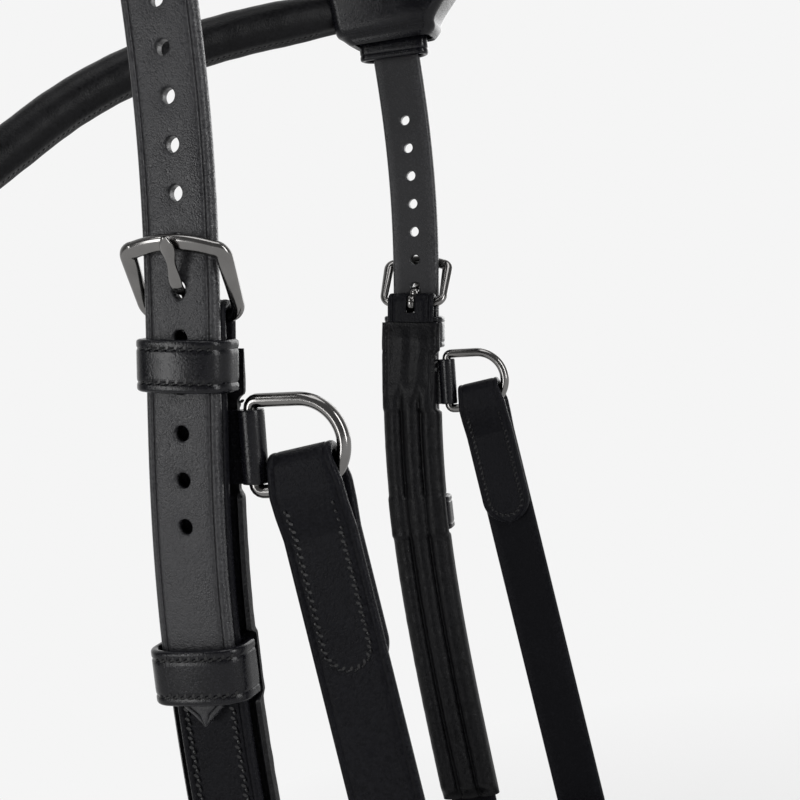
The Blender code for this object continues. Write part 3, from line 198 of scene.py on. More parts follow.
CHEEK_TAIL_TOP = -428.0 * MM
CHIN_REACH = 90.0 * MM
CHIN_SIDE_LENGTH = 22.0 * MM
CHIN_REAR_HALF = 38.0 * MM
CHIN_CORNER_RADIUS = 40.0 * MM
CHIN_PIVOT_DISTANCE = 72.0 * MM
CHIN_LAYER_DROP_LENGTH = 26.0 * MM
CHIN_POINT_PAST_PIVOT = 32.0 * MM
CHIN_KEEPER_PAST_PIVOT = 12.5 * MM
CHIN_KEEPER_LENGTH = 8.0 * MM
CHIN_HOLE_COUNT = 5
CHIN_TONGUE_HOLE = 1
print("straps", STRAP_WIDTH / MM, "mm wide, with holes every", HOLE_PITCH / MM, "mm")

# %% Places that follow from the sizes
LAYER_GAP_SHARE = 1.3
QUARTER_ARCH = pi / 2 * sqrt((HALF_SPAN**2 + CROWN_DROP**2) / 2)
CROWN_FOOT = POLL_PAD_THICK - CROWN_DROP
CHEEK_MIDDLE = HALF_FIT + CHEEK_THICK / 2
BILLET_INNER = HALF_FIT + CHEEK_THICK + LAYER_GAP_SHARE * FIT
BILLET_MIDDLE = BILLET_INNER + BILLET_THICK / 2
BILLET_OUTER = BILLET_INNER + BILLET_THICK
EYE_RADIUS = BAR_RADIUS + BAR_CLEARANCE + TONGUE_THICK / 2
CHAPE_RADIUS = BAR_RADIUS + BAR_CLEARANCE + CHAPE_THICK / 2
BAR_OUTWARD = BILLET_INNER - FIT - CHAPE_THICK / 2 - CHAPE_RADIUS
BUCKLE_TOP_OUTWARD = BILLET_OUTER + BUCKLE_TOP_HALF_DEPTH + 2 * FIT
TAB_HALF_HEIGHT = DEE_HALF_HEIGHT - DEE_CORNER_RADIUS - HALF_FIT
UP = np.array((0.0, 0.0, 1.0))
print("billet stands out", BILLET_INNER / MM, "to", BILLET_OUTER / MM, "mm")

# %% [markdown]
# ## The line of the head
# The straps follow one seam line: half an ellipse over the poll, then a drop down each cheek
# that sweeps forward in an S. Blender's curve objects could carry the straps. Arrays of
# points are used instead, because they give each layer its exact distance from the next.
# Each spot on the line carries three directions, along the strap, across it and away from
# the head, one row for each spot.

# %% The line of the head
Frames = namedtuple("Frames", "point along across outward")


def rows(vectors):
    """Each row divided by its own length."""
    return vectors / np.linalg.norm(vectors, axis=-1, keepdims=True)


def ease(share):
    """Smooth step: 3 s squared minus 2 s cubed, held to 0 and 1 outside."""
    share = np.clip(share, 0.0, 1.0)
    return share * share * (3 - 2 * share)


def sweep(height):
    """Fore-and-aft place: an S made by the hyperbolic tangent of the height."""
    return CHEEK_SWEEP * (np.tanh((height + BEND_DROP) / BEND_SPAN) - 1)


def crown_line(reach):
    """Point at a distance from the poll: sine and cosine of an ellipse, then straight down."""
    angle = np.clip(reach / QUARTER_ARCH, -1, 1) * pi / 2
    below = np.maximum(np.abs(reach) - QUARTER_ARCH, 0)
    height = CROWN_FOOT + CROWN_DROP * np.cos(angle) - below
    return np.stack((HALF_SPAN * np.sin(angle), sweep(height), height), axis=-1)


def crown_frames(reach):
    """Frames on the seam line: tangent by differences, outward square to the ellipse."""
    reach = np.atleast_1d(np.asarray(reach, float))
    along = rows(crown_line(reach + HALF_FIT) - crown_line(reach - HALF_FIT))
    angle = np.clip(reach / QUARTER_ARCH, -1, 1) * pi / 2
    outward = rows(np.stack((np.sin(angle) / HALF_SPAN, 0 * angle, np.cos(angle) / CROWN_DROP), axis=-1))
    return Frames(crown_line(reach), along, rows(np.cross(outward, along)), outward)


def reach_at(height):
    """Distance from the poll of a height on the cheek."""
    return QUARTER_ARCH + CROWN_FOOT - height


def cheek_frames(height):
    """Frames on the left cheek, with the first direction pointing up the strap."""
    found = crown_frames(reach_at(np.asarray(height, float)))
    return found._replace(along=-found.along)


def column(values):
    """Numbers as one column, ready to multiply rows of directions."""
    return np.reshape(values, (-1, 1))


def at(frames, across=0.0, along=0.0, outward=0.0):
    """Points that lie the three distances away from the frames."""
    return (frames.point + column(across) * frames.across + column(along) * frames.along
            + column(outward) * frames.outward)


print("the cheeks sweep forward by", (sweep(0) - sweep(NOSEBAND_HEIGHT)) / MM, "mm")

# %% Lines of points
CORNER_POINTS = 9


def arc(first, last, count, radius=1.0, centre=(0.0, 0.0), closed=False):
    """Points of a circle between two angles: cosine and sine times the radius, from a centre."""
    angle = np.linspace(first, last, count, endpoint=not closed)
    return np.stack((np.cos(angle), np.sin(angle)), axis=1) * radius + centre


def travelled(points):
    """Distance of each row from the first, along the line."""
    return np.append(0.0, np.cumsum(np.linalg.norm(np.diff(points, axis=0), axis=1)))


def read_at(wanted, distance, table):
    """Rows of a table at the wanted distances, straight between its own."""
    return np.stack([np.interp(wanted, distance, values) for values in table.T], axis=1)


def even(table, step, size=3):
    """The rows of a table at even distances, measured on its first columns."""
    distance = travelled(table[:, :size])
    count = max(int(round(distance[-1] / step)), 2) + 1
    return read_at(np.linspace(0, distance[-1], count), distance, table)


def even_loop(line, step):
    """Flat closed line at even distances."""
    return even(np.vstack((line, line[:1])), step, 2)[:-1]


def soften(table, rounds=3):
    """Corner cutting: each corner gives way to two rows a quarter way along its sides."""
    for _ in range(rounds):
        step = (table[1:] - table[:-1]) / 4
        pairs = np.stack((table[:-1] + step, table[1:] - step), axis=1).reshape(-1, table.shape[1])
        table = np.vstack((table[:1], pairs[1:-1], table[-1:]))
    return table


def fillet(corners, radii, closed=False, steps=CORNER_POINTS):
    """A line through 2-D corners, each with a radius turned into an arc of that radius."""
    corners = np.asarray(corners, float)
    count = len(corners)
    line = []
    for k, (corner, radius) in enumerate(zip(corners, np.broadcast_to(radii, count))):
        if radius == 0 or (not closed and k in (0, count - 1)):
            line.append(corner[None])
            continue
        before, after = rows(corners[k - 1] - corner), rows(corners[(k + 1) % count] - corner)
        half_angle = np.arccos(np.clip(before @ after, -1, 1)) / 2
        centre = corner + rows(before + after) * radius / sin(half_angle)
        first, last = (corner + way * radius / tan(half_angle) - centre for way in (before, after))
        start = atan2(first[1], first[0])
        turn = (atan2(last[1], last[0]) - start + pi) % (2 * pi) - pi
        line.append(arc(start, start + turn, steps, radius, centre))
    return np.vstack(line)


print("poll to noseband", travelled(crown_line(np.linspace(0, reach_at(NOSEBAND_HEIGHT))))[-1] / MM, "mm")

# %% [markdown]
# ## Skins
# A strap, a tube or a pad is one section carried along a line, so it is a grid of points: one
# ring for each spot on the line. A bevelled curve would do for a plain tube, but on a grid
# every ring has its own width, thickness and dips. The grid goes into a mesh in one step. The
# sign of its volume tells whether the faces look outwards, and they are turned round if not.

# %% Skins
SHARP = radians(42)
PUNCH_SIDES = 28


def mesh_piece(name, points, faces, edge=None):
    """Object from points and faces, with smooth shading between shallow angles."""
    mesh = bpy.data.meshes.new(name)
    mesh.from_pydata(points.tolist(), [], faces)
    if edge is not None:
        mesh.attributes.new("edge", "FLOAT", "POINT").data.foreach_set("value", edge)
    mesh.shade_smooth()
    mesh.set_sharp_from_angle(angle=SHARP)
    made = bpy.data.objects.new(name, mesh)
    scene.collection.objects.link(made)
    return made


def skin(name, rings, loop=False, edge=None):
    """Grid of rings as a closed skin. Its ends are flat, or meet each other in a loop."""
    count, sides = rings.shape[:2]
    i, j = np.arange(count if loop else count - 1)[:, None], np.arange(sides)[None]
    right, below = (j + 1) % sides, (i + 1) % count
    quads = np.stack((i * sides + j, i * sides + right, below * sides + right, below * sides + j), axis=-1)
    quads = quads.reshape(-1, 4)
    points = rings.reshape(-1, 3)
    corner = (points - points.mean(axis=0))[quads]
    volume = sum(np.einsum("ij,ij->", corner[:, 0], np.cross(corner[:, k], corner[:, k + 1]))
                 for k in (1, 2))
    caps = [] if loop else [np.arange(sides)[::-1], np.arange(sides) + (count - 1) * sides]
    faces = quads.tolist() + [cap.tolist() for cap in caps]
    if volume < 0:
        faces = [face[::-1] for face in faces]
    return mesh_piece(name, points, faces, None if edge is None else np.tile(edge, count))


def laid(line, across, outward):
    """Rings of a grid: a row of places across and outward, laid on each frame of a line."""
    return (line.point[:, None] + across[..., None] * line.across[:, None]
            + outward[..., None] * line.outward[:, None])


def cut_out(piece, cutter):
    """Take the cutter's shape out of a piece for good, and remove the cutter."""
    change = piece.modifiers.new("cut", "BOOLEAN")
    change.operation = "DIFFERENCE"
    change.solver = "EXACT"
    change.object = cutter
    cut = piece.evaluated_get(bpy.context.evaluated_depsgraph_get())
    mesh = bpy.data.meshes.new_from_object(cut)
    piece.modifiers.clear()
    piece.data = mesh
    bpy.data.objects.remove(cutter)


def punch(piece, spots, radius, depth, stretch=0.0):
    """Cut a hole at each frame: a circle, pulled apart along the strap, carried straight through."""
    angle = np.linspace(0, 2 * pi, PUNCH_SIDES, endpoint=False)
    radius, stretch = (np.broadcast_to(values, len(spots.point))[:, None] for values in (radius, stretch))
    along = radius * np.cos(angle) + np.sign(np.cos(angle)) * stretch / 2
    rings = (spots.point[:, None] + along[..., None] * spots.along[:, None]
             + (radius * np.sin(angle))[..., None] * spots.across[:, None])
    for ring, outward in zip(rings, spots.outward):
        cut_out(piece, skin("punch", np.stack((ring - depth * outward, ring + depth * outward))))


print("hole punch with", PUNCH_SIDES, "sides")

# %% [markdown]
# ## Fitting pieces to the frame
# Each finished piece stands for its solid and moves with the same body. Left pieces are made
# first. A Mirror modifier would keep both sides in one piece, but each side moves on a body
# of its own, so the mesh is copied and mirrored, and its faces are turned round again.

# %% Fitting pieces to the frame
PAIRS = ("left_", "right_")


def fit(piece, look, body, *nodes):
    """Give a piece its material and slot, let it move with a body and stand for its solids."""
    piece.data.materials.clear()
    piece.data.materials.append(look)
    # Stitch rows also get a second finish: the painted shade of their awl holes.
    if look is THREAD:
        piece.data.materials.append(AWL_HOLE_PAINTED_SHADE)
    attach(piece, body)
    if nodes:
        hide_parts(*nodes)
    print(piece.name, len(piece.data.polygons), "faces on", body)


def fit_pair(piece, look, body, *nodes):
    """Fit a left piece, and its mirror image on the right."""
    mesh = piece.data.copy()
    mesh.transform(Matrix.Scale(-1, 4, Vector((1, 0, 0))))
    mesh.flip_normals()
    twin = bpy.data.objects.new(piece.name.replace(*PAIRS), mesh)
    scene.collection.objects.link(twin)
    fit(piece, look, body, *nodes)
    fit(twin, look, body.replace(*PAIRS), *(node.replace(*PAIRS) for node in nodes))
    return piece, twin


# %% [markdown]
# ## Leather, thread and steel
# Bridle leather is dyed black and waxed. Close up it has a fine pebbled grain with pores, and
# its cut edges are rubbed smooth. Pictures of leather could be wrapped round the straps, but
# noise has no seams and holds up at any distance. One node group makes the grain for every
# leather, with its own scale and depth in each material. Patterns read Object coordinates,
# in metres.

# %% Grain shared by every leather
PEBBLE_RANDOM_SHARE = 0.9
PATCH_SCALE = 42.0
FOLD_TWIST = 0.6
PORE_SCALE_SHARE = 0.6
DOME_SHARE = 0.5
FOLD_SHARE = 1.6
SPECKLE_GAIN = 2.6
SPECKLE_BASE = -0.8


def node(tree, kind, **settings):
    """New node; settings name its own values, or an input socket by name."""
    made = tree.nodes.new(kind)
    for label, value in settings.items():
        if hasattr(made, label):
            setattr(made, label, value)
        else:
            made.inputs[label.replace("_", " ")].default_value = value
    return made


def wire(tree, *pairs):
    """Join sockets, given as (from, to)."""
    for source, target in pairs:
        tree.links.new(source, target)


def math_node(tree, operation, *values):
    """Math node fed with sockets or plain numbers."""
    made = node(tree, "ShaderNodeMath", operation=operation)
    for socket, value in zip(made.inputs, values):
        if isinstance(value, (int, float)):
            socket.default_value = value
        else:
            wire(tree, (value, socket))
    return made.outputs[0]


def grain_group():
    """Height is folds and pores of noise less cell domes; Patch is a slow mask, Speckle a fine one."""
    group = bpy.data.node_groups.new("leather_grain", "ShaderNodeTree")
    for label in ("Pebbles", "Folds", "Pores"):
        group.interface.new_socket(label, in_out="INPUT", socket_type="NodeSocketFloat")
    for label in ("Height", "Patch", "Speckle"):
        group.interface.new_socket(label, in_out="OUTPUT", socket_type="NodeSocketFloat")
    given = group.nodes.new("NodeGroupInput").outputs
    result = group.nodes.new("NodeGroupOutput").inputs
    place = node(group, "ShaderNodeTexCoord").outputs["Object"]
    pebble = node(group, "ShaderNodeTexVoronoi", feature="F1", Randomness=PEBBLE_RANDOM_SHARE)
    pore = node(group, "ShaderNodeTexNoise", Detail=4.0)
    fold = node(group, "ShaderNodeTexNoise", Detail=3.0, Distortion=FOLD_TWIST)
    patch = node(group, "ShaderNodeTexNoise", Scale=PATCH_SCALE, Detail=5.0)
    wire(group, *((place, pattern.inputs["Vector"]) for pattern in (pebble, pore, fold, patch)))
    wire(group, (given["Pebbles"], pebble.inputs["Scale"]), (given["Folds"], fold.inputs["Scale"]),
         (math_node(group, "MULTIPLY", given["Pebbles"], PORE_SCALE_SHARE), pore.inputs["Scale"]))
    pores = math_node(group, "MULTIPLY", pore.outputs["Fac"], given["Pores"])
    domes = math_node(group, "MULTIPLY", pebble.outputs["Distance"], DOME_SHARE)
    folds = math_node(group, "MULTIPLY", fold.outputs["Fac"], FOLD_SHARE)
    height = math_node(group, "ADD", math_node(group, "SUBTRACT", pores, domes), folds)
    speckle = math_node(group, "MULTIPLY_ADD", pore.outputs["Fac"], SPECKLE_GAIN, SPECKLE_BASE)
    wire(group, (height, result["Height"]), (patch.outputs["Fac"], result["Patch"]),
         (speckle, result["Speckle"]))
    return group


GRAIN = grain_group()
print("grain nodes", len(GRAIN.nodes))

# %% [markdown]
# ### Mixing a finish
# Every finish mixes two tones and presses a little relief into the shading. On leather the
# mix and the roughness follow patches, specks and the rubbed edges, which each strap marks in
# an attribute of its own. Stainless steel is polished by hand, so it keeps faint scratches
# that change its roughness. A plain colour would do from afar, but not beside the buckle.

# %% Mixing a finish
BUMP_STRENGTH = 0.85
SCRATCH_STRENGTH = 0.5
SCRATCH_DEPTH = 0.006 * MM
SCRATCH_SCALES = (500.0, 160.0, 2600.0)
SCRATCH_ROUGHNESS = 0.16
CLOUD_SCALE = 160.0
# Shares of the base, the patches, the specks and the rubbed edges, in that order.
ROUGHNESS_SHARES = (-0.23, 0.30, 0.16, -0.18)
TONE_SHARES = (-0.45, 0.90, 0.90, 0.45)


def finish(name, slot, tones, shown, strength, depth):
    """Material that mixes two tones and bends its normals; the rest is added by its maker."""
    look = bpy.data.materials.new(name)
    look["slot"] = slot
    look.use_nodes = True
    look.diffuse_color = (*shown, 1.0)
    tree = look.node_tree
    shader = tree.nodes["Principled BSDF"].inputs
    mix = node(tree, "ShaderNodeMix", data_type="RGBA")
    for socket, tone in zip("AB", tones):
        mix.inputs[socket].default_value = (*tone, 1.0)
    bump = node(tree, "ShaderNodeBump", Distance=depth, Strength=strength)
    wire(tree, (mix.outputs["Result"], shader["Base Color"]), (bump.outputs["Normal"], shader["Normal"]))
    return look, tree, shader, mix.inputs["Factor"], bump.inputs["Height"]


def leather(name, slot, dark, light, rough, shine, pebbles, folds, pores, depth):
    """Two dark tones mixed by patches, specks and rubbed edges, which change the roughness too."""
    look, tree, shader, factor, height = finish(name, slot, (dark, light), dark, BUMP_STRENGTH, depth * MM)
    grain = node(tree, "ShaderNodeGroup", node_tree=GRAIN)
    for label, value in (("Pebbles", pebbles), ("Folds", folds), ("Pores", pores)):
        grain.inputs[label].default_value = value
    rubbed = node(tree, "ShaderNodeAttribute", attribute_name="edge").outputs["Fac"]
    for target, start, shares in ((shader["Roughness"], rough, ROUGHNESS_SHARES), (factor, 0.0, TONE_SHARES)):
        base, patch, speckle, edge = shares
        mask = math_node(tree, "MULTIPLY_ADD", grain.outputs["Patch"], patch, start + base)
        mask = math_node(tree, "MULTIPLY_ADD", grain.outputs["Speckle"], speckle, mask)
        wire(tree, (math_node(tree, "MULTIPLY_ADD", rubbed, edge, mask), target))
    wire(tree, (grain.outputs["Height"], height))
    shader["Specular IOR Level"].default_value = shine
    return look


def steel(name, slot, dull, bright, rough):
    """Tone by clouds of noise, roughness by scratches: noise drawn out along one direction."""
    look, tree, shader, factor, height = finish(name, slot, (dull, bright), bright,
                                                SCRATCH_STRENGTH, SCRATCH_DEPTH)
    look.metallic = 1.0
    shader["Metallic"].default_value = 1.0
    place = node(tree, "ShaderNodeTexCoord").outputs["Object"]
    drawn = node(tree, "ShaderNodeMapping", Scale=SCRATCH_SCALES)
    scratch = node(tree, "ShaderNodeTexNoise", Scale=1.0, Detail=5.0)
    cloud = node(tree, "ShaderNodeTexNoise", Scale=CLOUD_SCALE, Detail=3.0)
    uneven = math_node(tree, "MULTIPLY_ADD", scratch.outputs["Fac"], SCRATCH_ROUGHNESS,
                       rough - SCRATCH_ROUGHNESS / 2)
    wire(tree, (place, drawn.inputs["Vector"]), (drawn.outputs["Vector"], scratch.inputs["Vector"]),
         (place, cloud.inputs["Vector"]), (cloud.outputs["Fac"], factor), (uneven, shader["Roughness"]),
         (scratch.outputs["Fac"], height))
    return look


print("bump strengths", BUMP_STRENGTH, "and", SCRATCH_STRENGTH)

# %% [markdown]
# ### The finishes
# The billets and the bands are waxed and show the most grain. The keepers are burnished, the
# cheek and bit straps are darker and drier, and the linings are of soft leather with deeper
# pores. Each row gives the dark and the light tone, the roughness, the shine, the scales of
# pebbles and folds, the strength of the pores, and the depth of the grain in millimetres.

# %% The finishes
BRIDLE_LEATHER = leather("waxed_bridle_leather", "bridle_leather", (0.0078, 0.0078, 0.0092),
                         (0.0300, 0.0300, 0.0325), 0.40, 0.33, 2100.0, 70.0, 0.5, 0.20)
KEEPER_LEATHER = leather("burnished_keeper_leather", "bridle_leather", (0.002, 0.002, 0.003),
                         (0.006, 0.006, 0.008), 0.23, 0.22, 2600.0, 90.0, 0.5, 0.06)
DARK_LEATHER = leather("smooth_strap_leather", "bridle_leather", (0.0026, 0.0026, 0.0036),
                       (0.0076, 0.0077, 0.0095), 0.38, 0.062, 2100.0, 60.0, 0.5, 0.20)
LINING_LEATHER = leather("soft_lining_leather", "soft_leather", (0.0022, 0.0022, 0.0026),
                         (0.0072, 0.0072, 0.0082), 0.38, 0.11, 1500.0, 150.0, 0.8, 0.15)
THREAD = leather("waxed_thread", "bridle_leather", (0.003, 0.003, 0.003), (0.010, 0.010, 0.011),
                 0.32, 0.30, 2600.0, 400.0, 0.2, 0.03)
# Painted shade: the awl holes are not cut, so this near-black finish on small discs stands for the shade
# inside them.
AWL_HOLE_PAINTED_SHADE = leather("awl_hole_shade", "bridle_leather", (0.001, 0.001, 0.001), (0.001, 0.001, 0.001),
                   0.90, 0.02, 2600.0, 400.0, 0.2, 0.01)
STAINLESS = steel("polished_stainless_steel", "stainless_steel", (0.130, 0.127, 0.124),
                  (0.210, 0.205, 0.200), 0.15)
print("finishes", [look.name for look in bpy.data.materials])

# %% [markdown]
# ## Straps
# A cut strap has nearly flat faces, edges that were rounded with an edger and rubbed, and a
# crease pressed into the grain side a couple of millimetres in from each edge. Bevelled boxes
# bent along a curve would be another way, but one section gives every strap the same edge.
# It says for each point which side it belongs to, how far in from that side it lies, its
# share of the thickness, how deep it is pressed, and how much the edge is rubbed there.

# %% Straps
Section = namedtuple("Section", "share shift lift depth edge")
EDGE_ROUND = 1.25 * MM
CHEEK_EDGE_ROUND = 1.0 * MM
KEEPER_EDGE_ROUND = 0.8 * MM
NARROW = 3.5 * MM
FINE = 0.7 * MM
EDGE_POINTS = 9
STRAP_POINTS = 11
BAND_POINTS = 9
BACK_POINTS = 5
FACE_LIFT = 0.5
BELL = np.array((-1.0, -0.5, 0.0, 0.5, 1.0))
BELL_SHARPNESS = 3


def strap_section(grooves, face_count, round_off=EDGE_ROUND, crown=0.0):
    """Section of a strap: half ellipses for edges, bells (inset, width, depth) pressed in its face.

    The face is crowned by 1 less the fourth power of the share of the way to its side.
    """
    angle = np.linspace(-pi / 2, pi / 2, EDGE_POINTS)
    parts = [[1 + 0 * angle, round_off * (np.cos(angle) - 1), np.sin(angle) / 2, 0 * angle, np.cos(angle)]]
    last = round_off
    for inset, width, deep in grooves:
        spots = inset + BELL * width
        dip = -deep * np.exp(-BELL_SHARPNESS * BELL**2)
        parts.append([1 + 0 * BELL, -spots, FACE_LIFT + 0 * BELL, dip, 0 * BELL])
        last = spots[-1]
    share = np.linspace(1, -1, face_count + 2)[1:-1]
    face = [share, -share * last, FACE_LIFT + 0 * share, crown * (1 - share**4), 0 * share]
    front = [np.concatenate(values) for values in zip(*parts)]
    mirror = [values[::-1] * sign for values, sign in zip(front, (-1, -1, 1, 1, 1))]
    share = np.linspace(-1, 1, BACK_POINTS + 2)[1:-1]
    back = [share, -share * round_off, 0 * share - FACE_LIFT, 0 * share, 0 * share - 1]
    return Section(*(np.concatenate(values) for values in zip(front, face, mirror, back)))


def heading(line):
    """Direction of travel at each point of a closed line, from the points on its two sides."""
    return np.roll(line, -1, axis=0) - np.roll(line, 1, axis=0)


def ribbon_rings(points, across, half, thick, section, loop=False):
    """Rings of a strap, the section laid across and square to the line, with places and normals."""
    across = np.broadcast_to(across, points.shape)
    half, thick = (np.broadcast_to(values, len(points))[:, None] for values in (half, thick))
    tangent = heading(points) if loop else np.gradient(points, axis=0)
    normal = rows(np.cross(across, tangent))
    narrowed = np.minimum(1, half / NARROW)
    place = section.share * half + section.shift * narrowed
    return laid(Frames(points, tangent, across, normal), place,
                section.lift * thick + section.depth * narrowed), place, normal


def ribbon(name, points, across, half, thick, section, loop=False):
    """Strap skinned from its rings, with rubbed edges marked."""
    rings, _, _ = ribbon_rings(points, across, half, thick, section, loop)
    return skin(name, rings, loop, section.edge)


print("points in a plain strap's section", len(strap_section((), STRAP_POINTS).share))

# %% [markdown]
# ## Stitches
# A saddler sews with waxed thread through slanting awl holes, so each stitch is a short
# slanting thread that rises a little out of the leather and dives at both ends into a hole.
# Instances on a curve would look the same. One mesh for each row is easier to hand on,
# so the whole row is worked out as one array, with a few dozen faces for each stitch. The
# holes are not cut: their dark shade is painted on small discs with a finish of their own.

# %% Stitches
STITCH_PITCH = 2.4 * MM
FINE_PITCH = 2.1 * MM
STITCH_SLANT = radians(16)
STITCH_RISE = 0.26 * MM
THREAD_RADIUS = 0.28 * MM
THREAD_SHARE = 0.66
THREAD_TAPER_SHARE = 0.3
THREAD_DIVE_SHARE = 3.2
THREAD_STEPS = 7
THREAD_SIDES = 6
# Sides, lift and size of the discs of painted shade that stand for the awl holes.
SHADE_DISC_SIDES = 8
SHADE_DISC_LIFT = 0.05 * MM
SHADE_DISC_SHARES = (0.30, 0.17)


def stitch_places(lines, pitch):
    """Middle, direction and up of each stitch on lines of (points, normals), each as rows."""
    found = []
    for points, normals in lines:
        distance = travelled(points)
        count = max(int(distance[-1] / pitch), 1)
        wanted = (np.arange(count) + 0.5) * distance[-1] / count
        tables = points, np.broadcast_to(normals, points.shape), np.gradient(points, axis=0)
        spot, up, tangent = (read_at(wanted, distance, table) for table in tables)
        up = rows(up)
        way = rows(tangent - np.einsum("ij,ij->i", tangent, up)[:, None] * up)
        found.append((spot, cos(STITCH_SLANT) * way + sin(STITCH_SLANT) * np.cross(up, way), up))
    return (np.vstack(values)[:, None, None] for values in zip(*found))


def stitch_faces(count):
    """Corners of the faces: the sides and two ends of each thread, then the discs of painted hole shade."""
    i, j = np.arange(THREAD_STEPS - 1)[:, None] * THREAD_SIDES, np.arange(THREAD_SIDES)[None]
    right = (j + 1) % THREAD_SIDES
    quads = np.stack((i + j, i + right, i + THREAD_SIDES + right, i + THREAD_SIDES + j), axis=-1)
    size = THREAD_STEPS * THREAD_SIDES
    starts = (np.arange(count) * size)[:, None, None]
    quads = (quads.reshape(1, -1, 4) + starts).reshape(-1, 4)
    ends = np.stack((j[0, ::-1], j[0] + size - THREAD_SIDES))[None] + starts
    rims = np.arange(count * SHADE_DISC_SIDES).reshape(-1, SHADE_DISC_SIDES)[:, ::-1] + count * size
    return quads.tolist() + ends.reshape(-1, THREAD_SIDES).tolist(), rims.tolist()


def stitch_rows(name, lines, pitch=STITCH_PITCH):
    """Rows of stitches: each thread is an arch that falls with the fourth power from its middle."""
    spot, way, up = stitch_places(lines, pitch)
    side = np.cross(up, way)
    t = np.linspace(-1, 1, THREAD_STEPS)[None, :, None, None]
    circle = arc(0, 2 * pi, THREAD_SIDES, closed=True)[None, None, :, :, None]
    radius = THREAD_RADIUS * (1 - THREAD_TAPER_SHARE * t**4)
    rise = STITCH_RISE * (1 - THREAD_DIVE_SHARE * t**4)
    threads = (spot + t * THREAD_SHARE * pitch / 2 * way + (rise + radius * circle[..., 1, :]) * up
               + radius * circle[..., 0, :] * side)
    # Painted shade of the awl holes: a near-black disc just above the leather at the end of each stitch.
    middle = spot + pitch / 2 * (cos(STITCH_SLANT) * way + sin(STITCH_SLANT) * side) + SHADE_DISC_LIFT * up
    rim = arc(0, 2 * pi, SHADE_DISC_SIDES, pitch / sqrt(2), closed=True) * SHADE_DISC_SHARES
    rim = rim[None, None, :, :, None]
    holes = middle + rim[..., 0, :] * (way + side) + rim[..., 1, :] * (way - side)
    sides, rims = stitch_faces(len(spot))
    made = mesh_piece(name, np.vstack((threads.reshape(-1, 3), holes.reshape(-1, 3))), sides + rims)
    made.data.polygons.foreach_set("material_index", np.repeat((0, 1), (len(sides), len(rims))))
    print(name, len(spot), "stitches")
    return made


# %% [markdown]
# ## Billet straps
# The billet is the strap with the holes. Its point ends below the lower keeper. Use and the
# punch pull the leather down round each hole, so the grain side dips there as a bell-shaped
# dish. The holes could be painted black, but the backdrop shows through them, so a Boolean
# cuts them out. The tongue draws its own hole long.

# %% Billet straps
CREASE = (2.1 * MM, 0.42 * MM, 0.38 * MM)
SEAM = (3.3 * MM, 0.7 * MM, 0.22 * MM)
BILLET_CROWN = 0.25 * MM
DISH_DEPTH = 0.35 * MM
DISH_RADIUS = 2.9 * MM
DISHED_LIFT_SHARE = 0.4
BILLET_RINGS = 330
BILLET_POINTS = 25
TONGUE_HOLE_STRETCH = 0.9 * MM
TONGUE_HOLE_GRIP = 0.2 * MM
POINT_SHARES = np.array(((0, 1), (0.12, 0.93), (0.25, 0.82), (0.4, 0.68), (0.55, 0.52), (0.7, 0.35),
                         (0.85, 0.18), (0.95, 0.07), (1, 0.03)))


def hole_reaches():
    """Distances from the poll of the billet's holes, their pitch divided by the cheek's lean."""
    lean = sqrt(1 + (CHEEK_SWEEP / BEND_SPAN) ** 2)
    return reach_at(FIRST_HOLE_HEIGHT) + np.arange(HOLE_COUNT) * HOLE_PITCH / lean


def pointed_half(distance, tip):
    """Half width of a strap, read from the shares of its point near the tip."""
    share = 1 - np.abs(tip - distance) / POINT_LENGTH
    return STRAP_WIDTH / 2 * np.interp(share, *POINT_SHARES.T)


def holed_strap(name, place, layer, distance, tip, holes, tongue_hole, section):
    """Strap with a point, less a bell round each hole, and its holes cut."""
    line, (out, thick) = place(distance), layer(distance)
    rings, across, normal = ribbon_rings(at(line, outward=out), line.across, pointed_half(distance, tip),
                                         thick, section)
    gap = across[..., None] ** 2 + (distance[:, None, None] - holes) ** 2
    dip = DISH_DEPTH * np.exp(-gap / DISH_RADIUS**2).sum(axis=-1) * (section.lift > DISHED_LIFT_SHARE)
    strap = skin(name, rings - dip[..., None] * normal[:, None], edge=section.edge)
    spots = place(holes)
    filled = np.arange(len(holes)) == tongue_hole
    punch(strap, spots._replace(point=at(spots, outward=layer(holes)[0])),
          HOLE_DIAMETER / 2 - filled * TONGUE_HOLE_GRIP, BILLET_THICK, filled * TONGUE_HOLE_STRETCH)
    return strap


def billet_layer(_):
    """Outward place and thickness of the billet, the same all along."""
    return BILLET_MIDDLE, BILLET_THICK


def make_billets():
    """Strap along the seam line, from its point up to its root under the crown strap."""
    holes = hole_reaches()
    tip = holes[-1] + POINT_BELOW_LAST_HOLE
    reach = np.linspace(tip, BILLET_ROOT_REACH, BILLET_RINGS)
    billet = holed_strap("left_billet_leather", crown_frames, billet_layer, reach, tip, holes, TONGUE_HOLE,
                         strap_section((CREASE,), BILLET_POINTS, crown=BILLET_CROWN))
    fit_pair(billet, BRIDLE_LEATHER, "bridle", "left_billet_strap")


make_billets()

# %% [markdown]
# ## Cheek straps
# The cheek strap turns round the buckle's bar above, with a slot for the tongue, and round
# the noseband below. Bending a flat strap with bones would be another way. A list of places,
# outward distance against height with the two turns as arcs, keeps the clearances exact. It
# is spaced evenly before it is skinned.

# %% Cheek straps
TURN_POINTS = 13
PIVOT_HEIGHT = CROWN_FOOT - (hole_reaches()[TONGUE_HOLE] - QUARTER_ARCH) - PIVOT_TO_TONGUE_HOLE
LINING_TOP = PIVOT_HEIGHT - LINING_TOP_BELOW_PIVOT


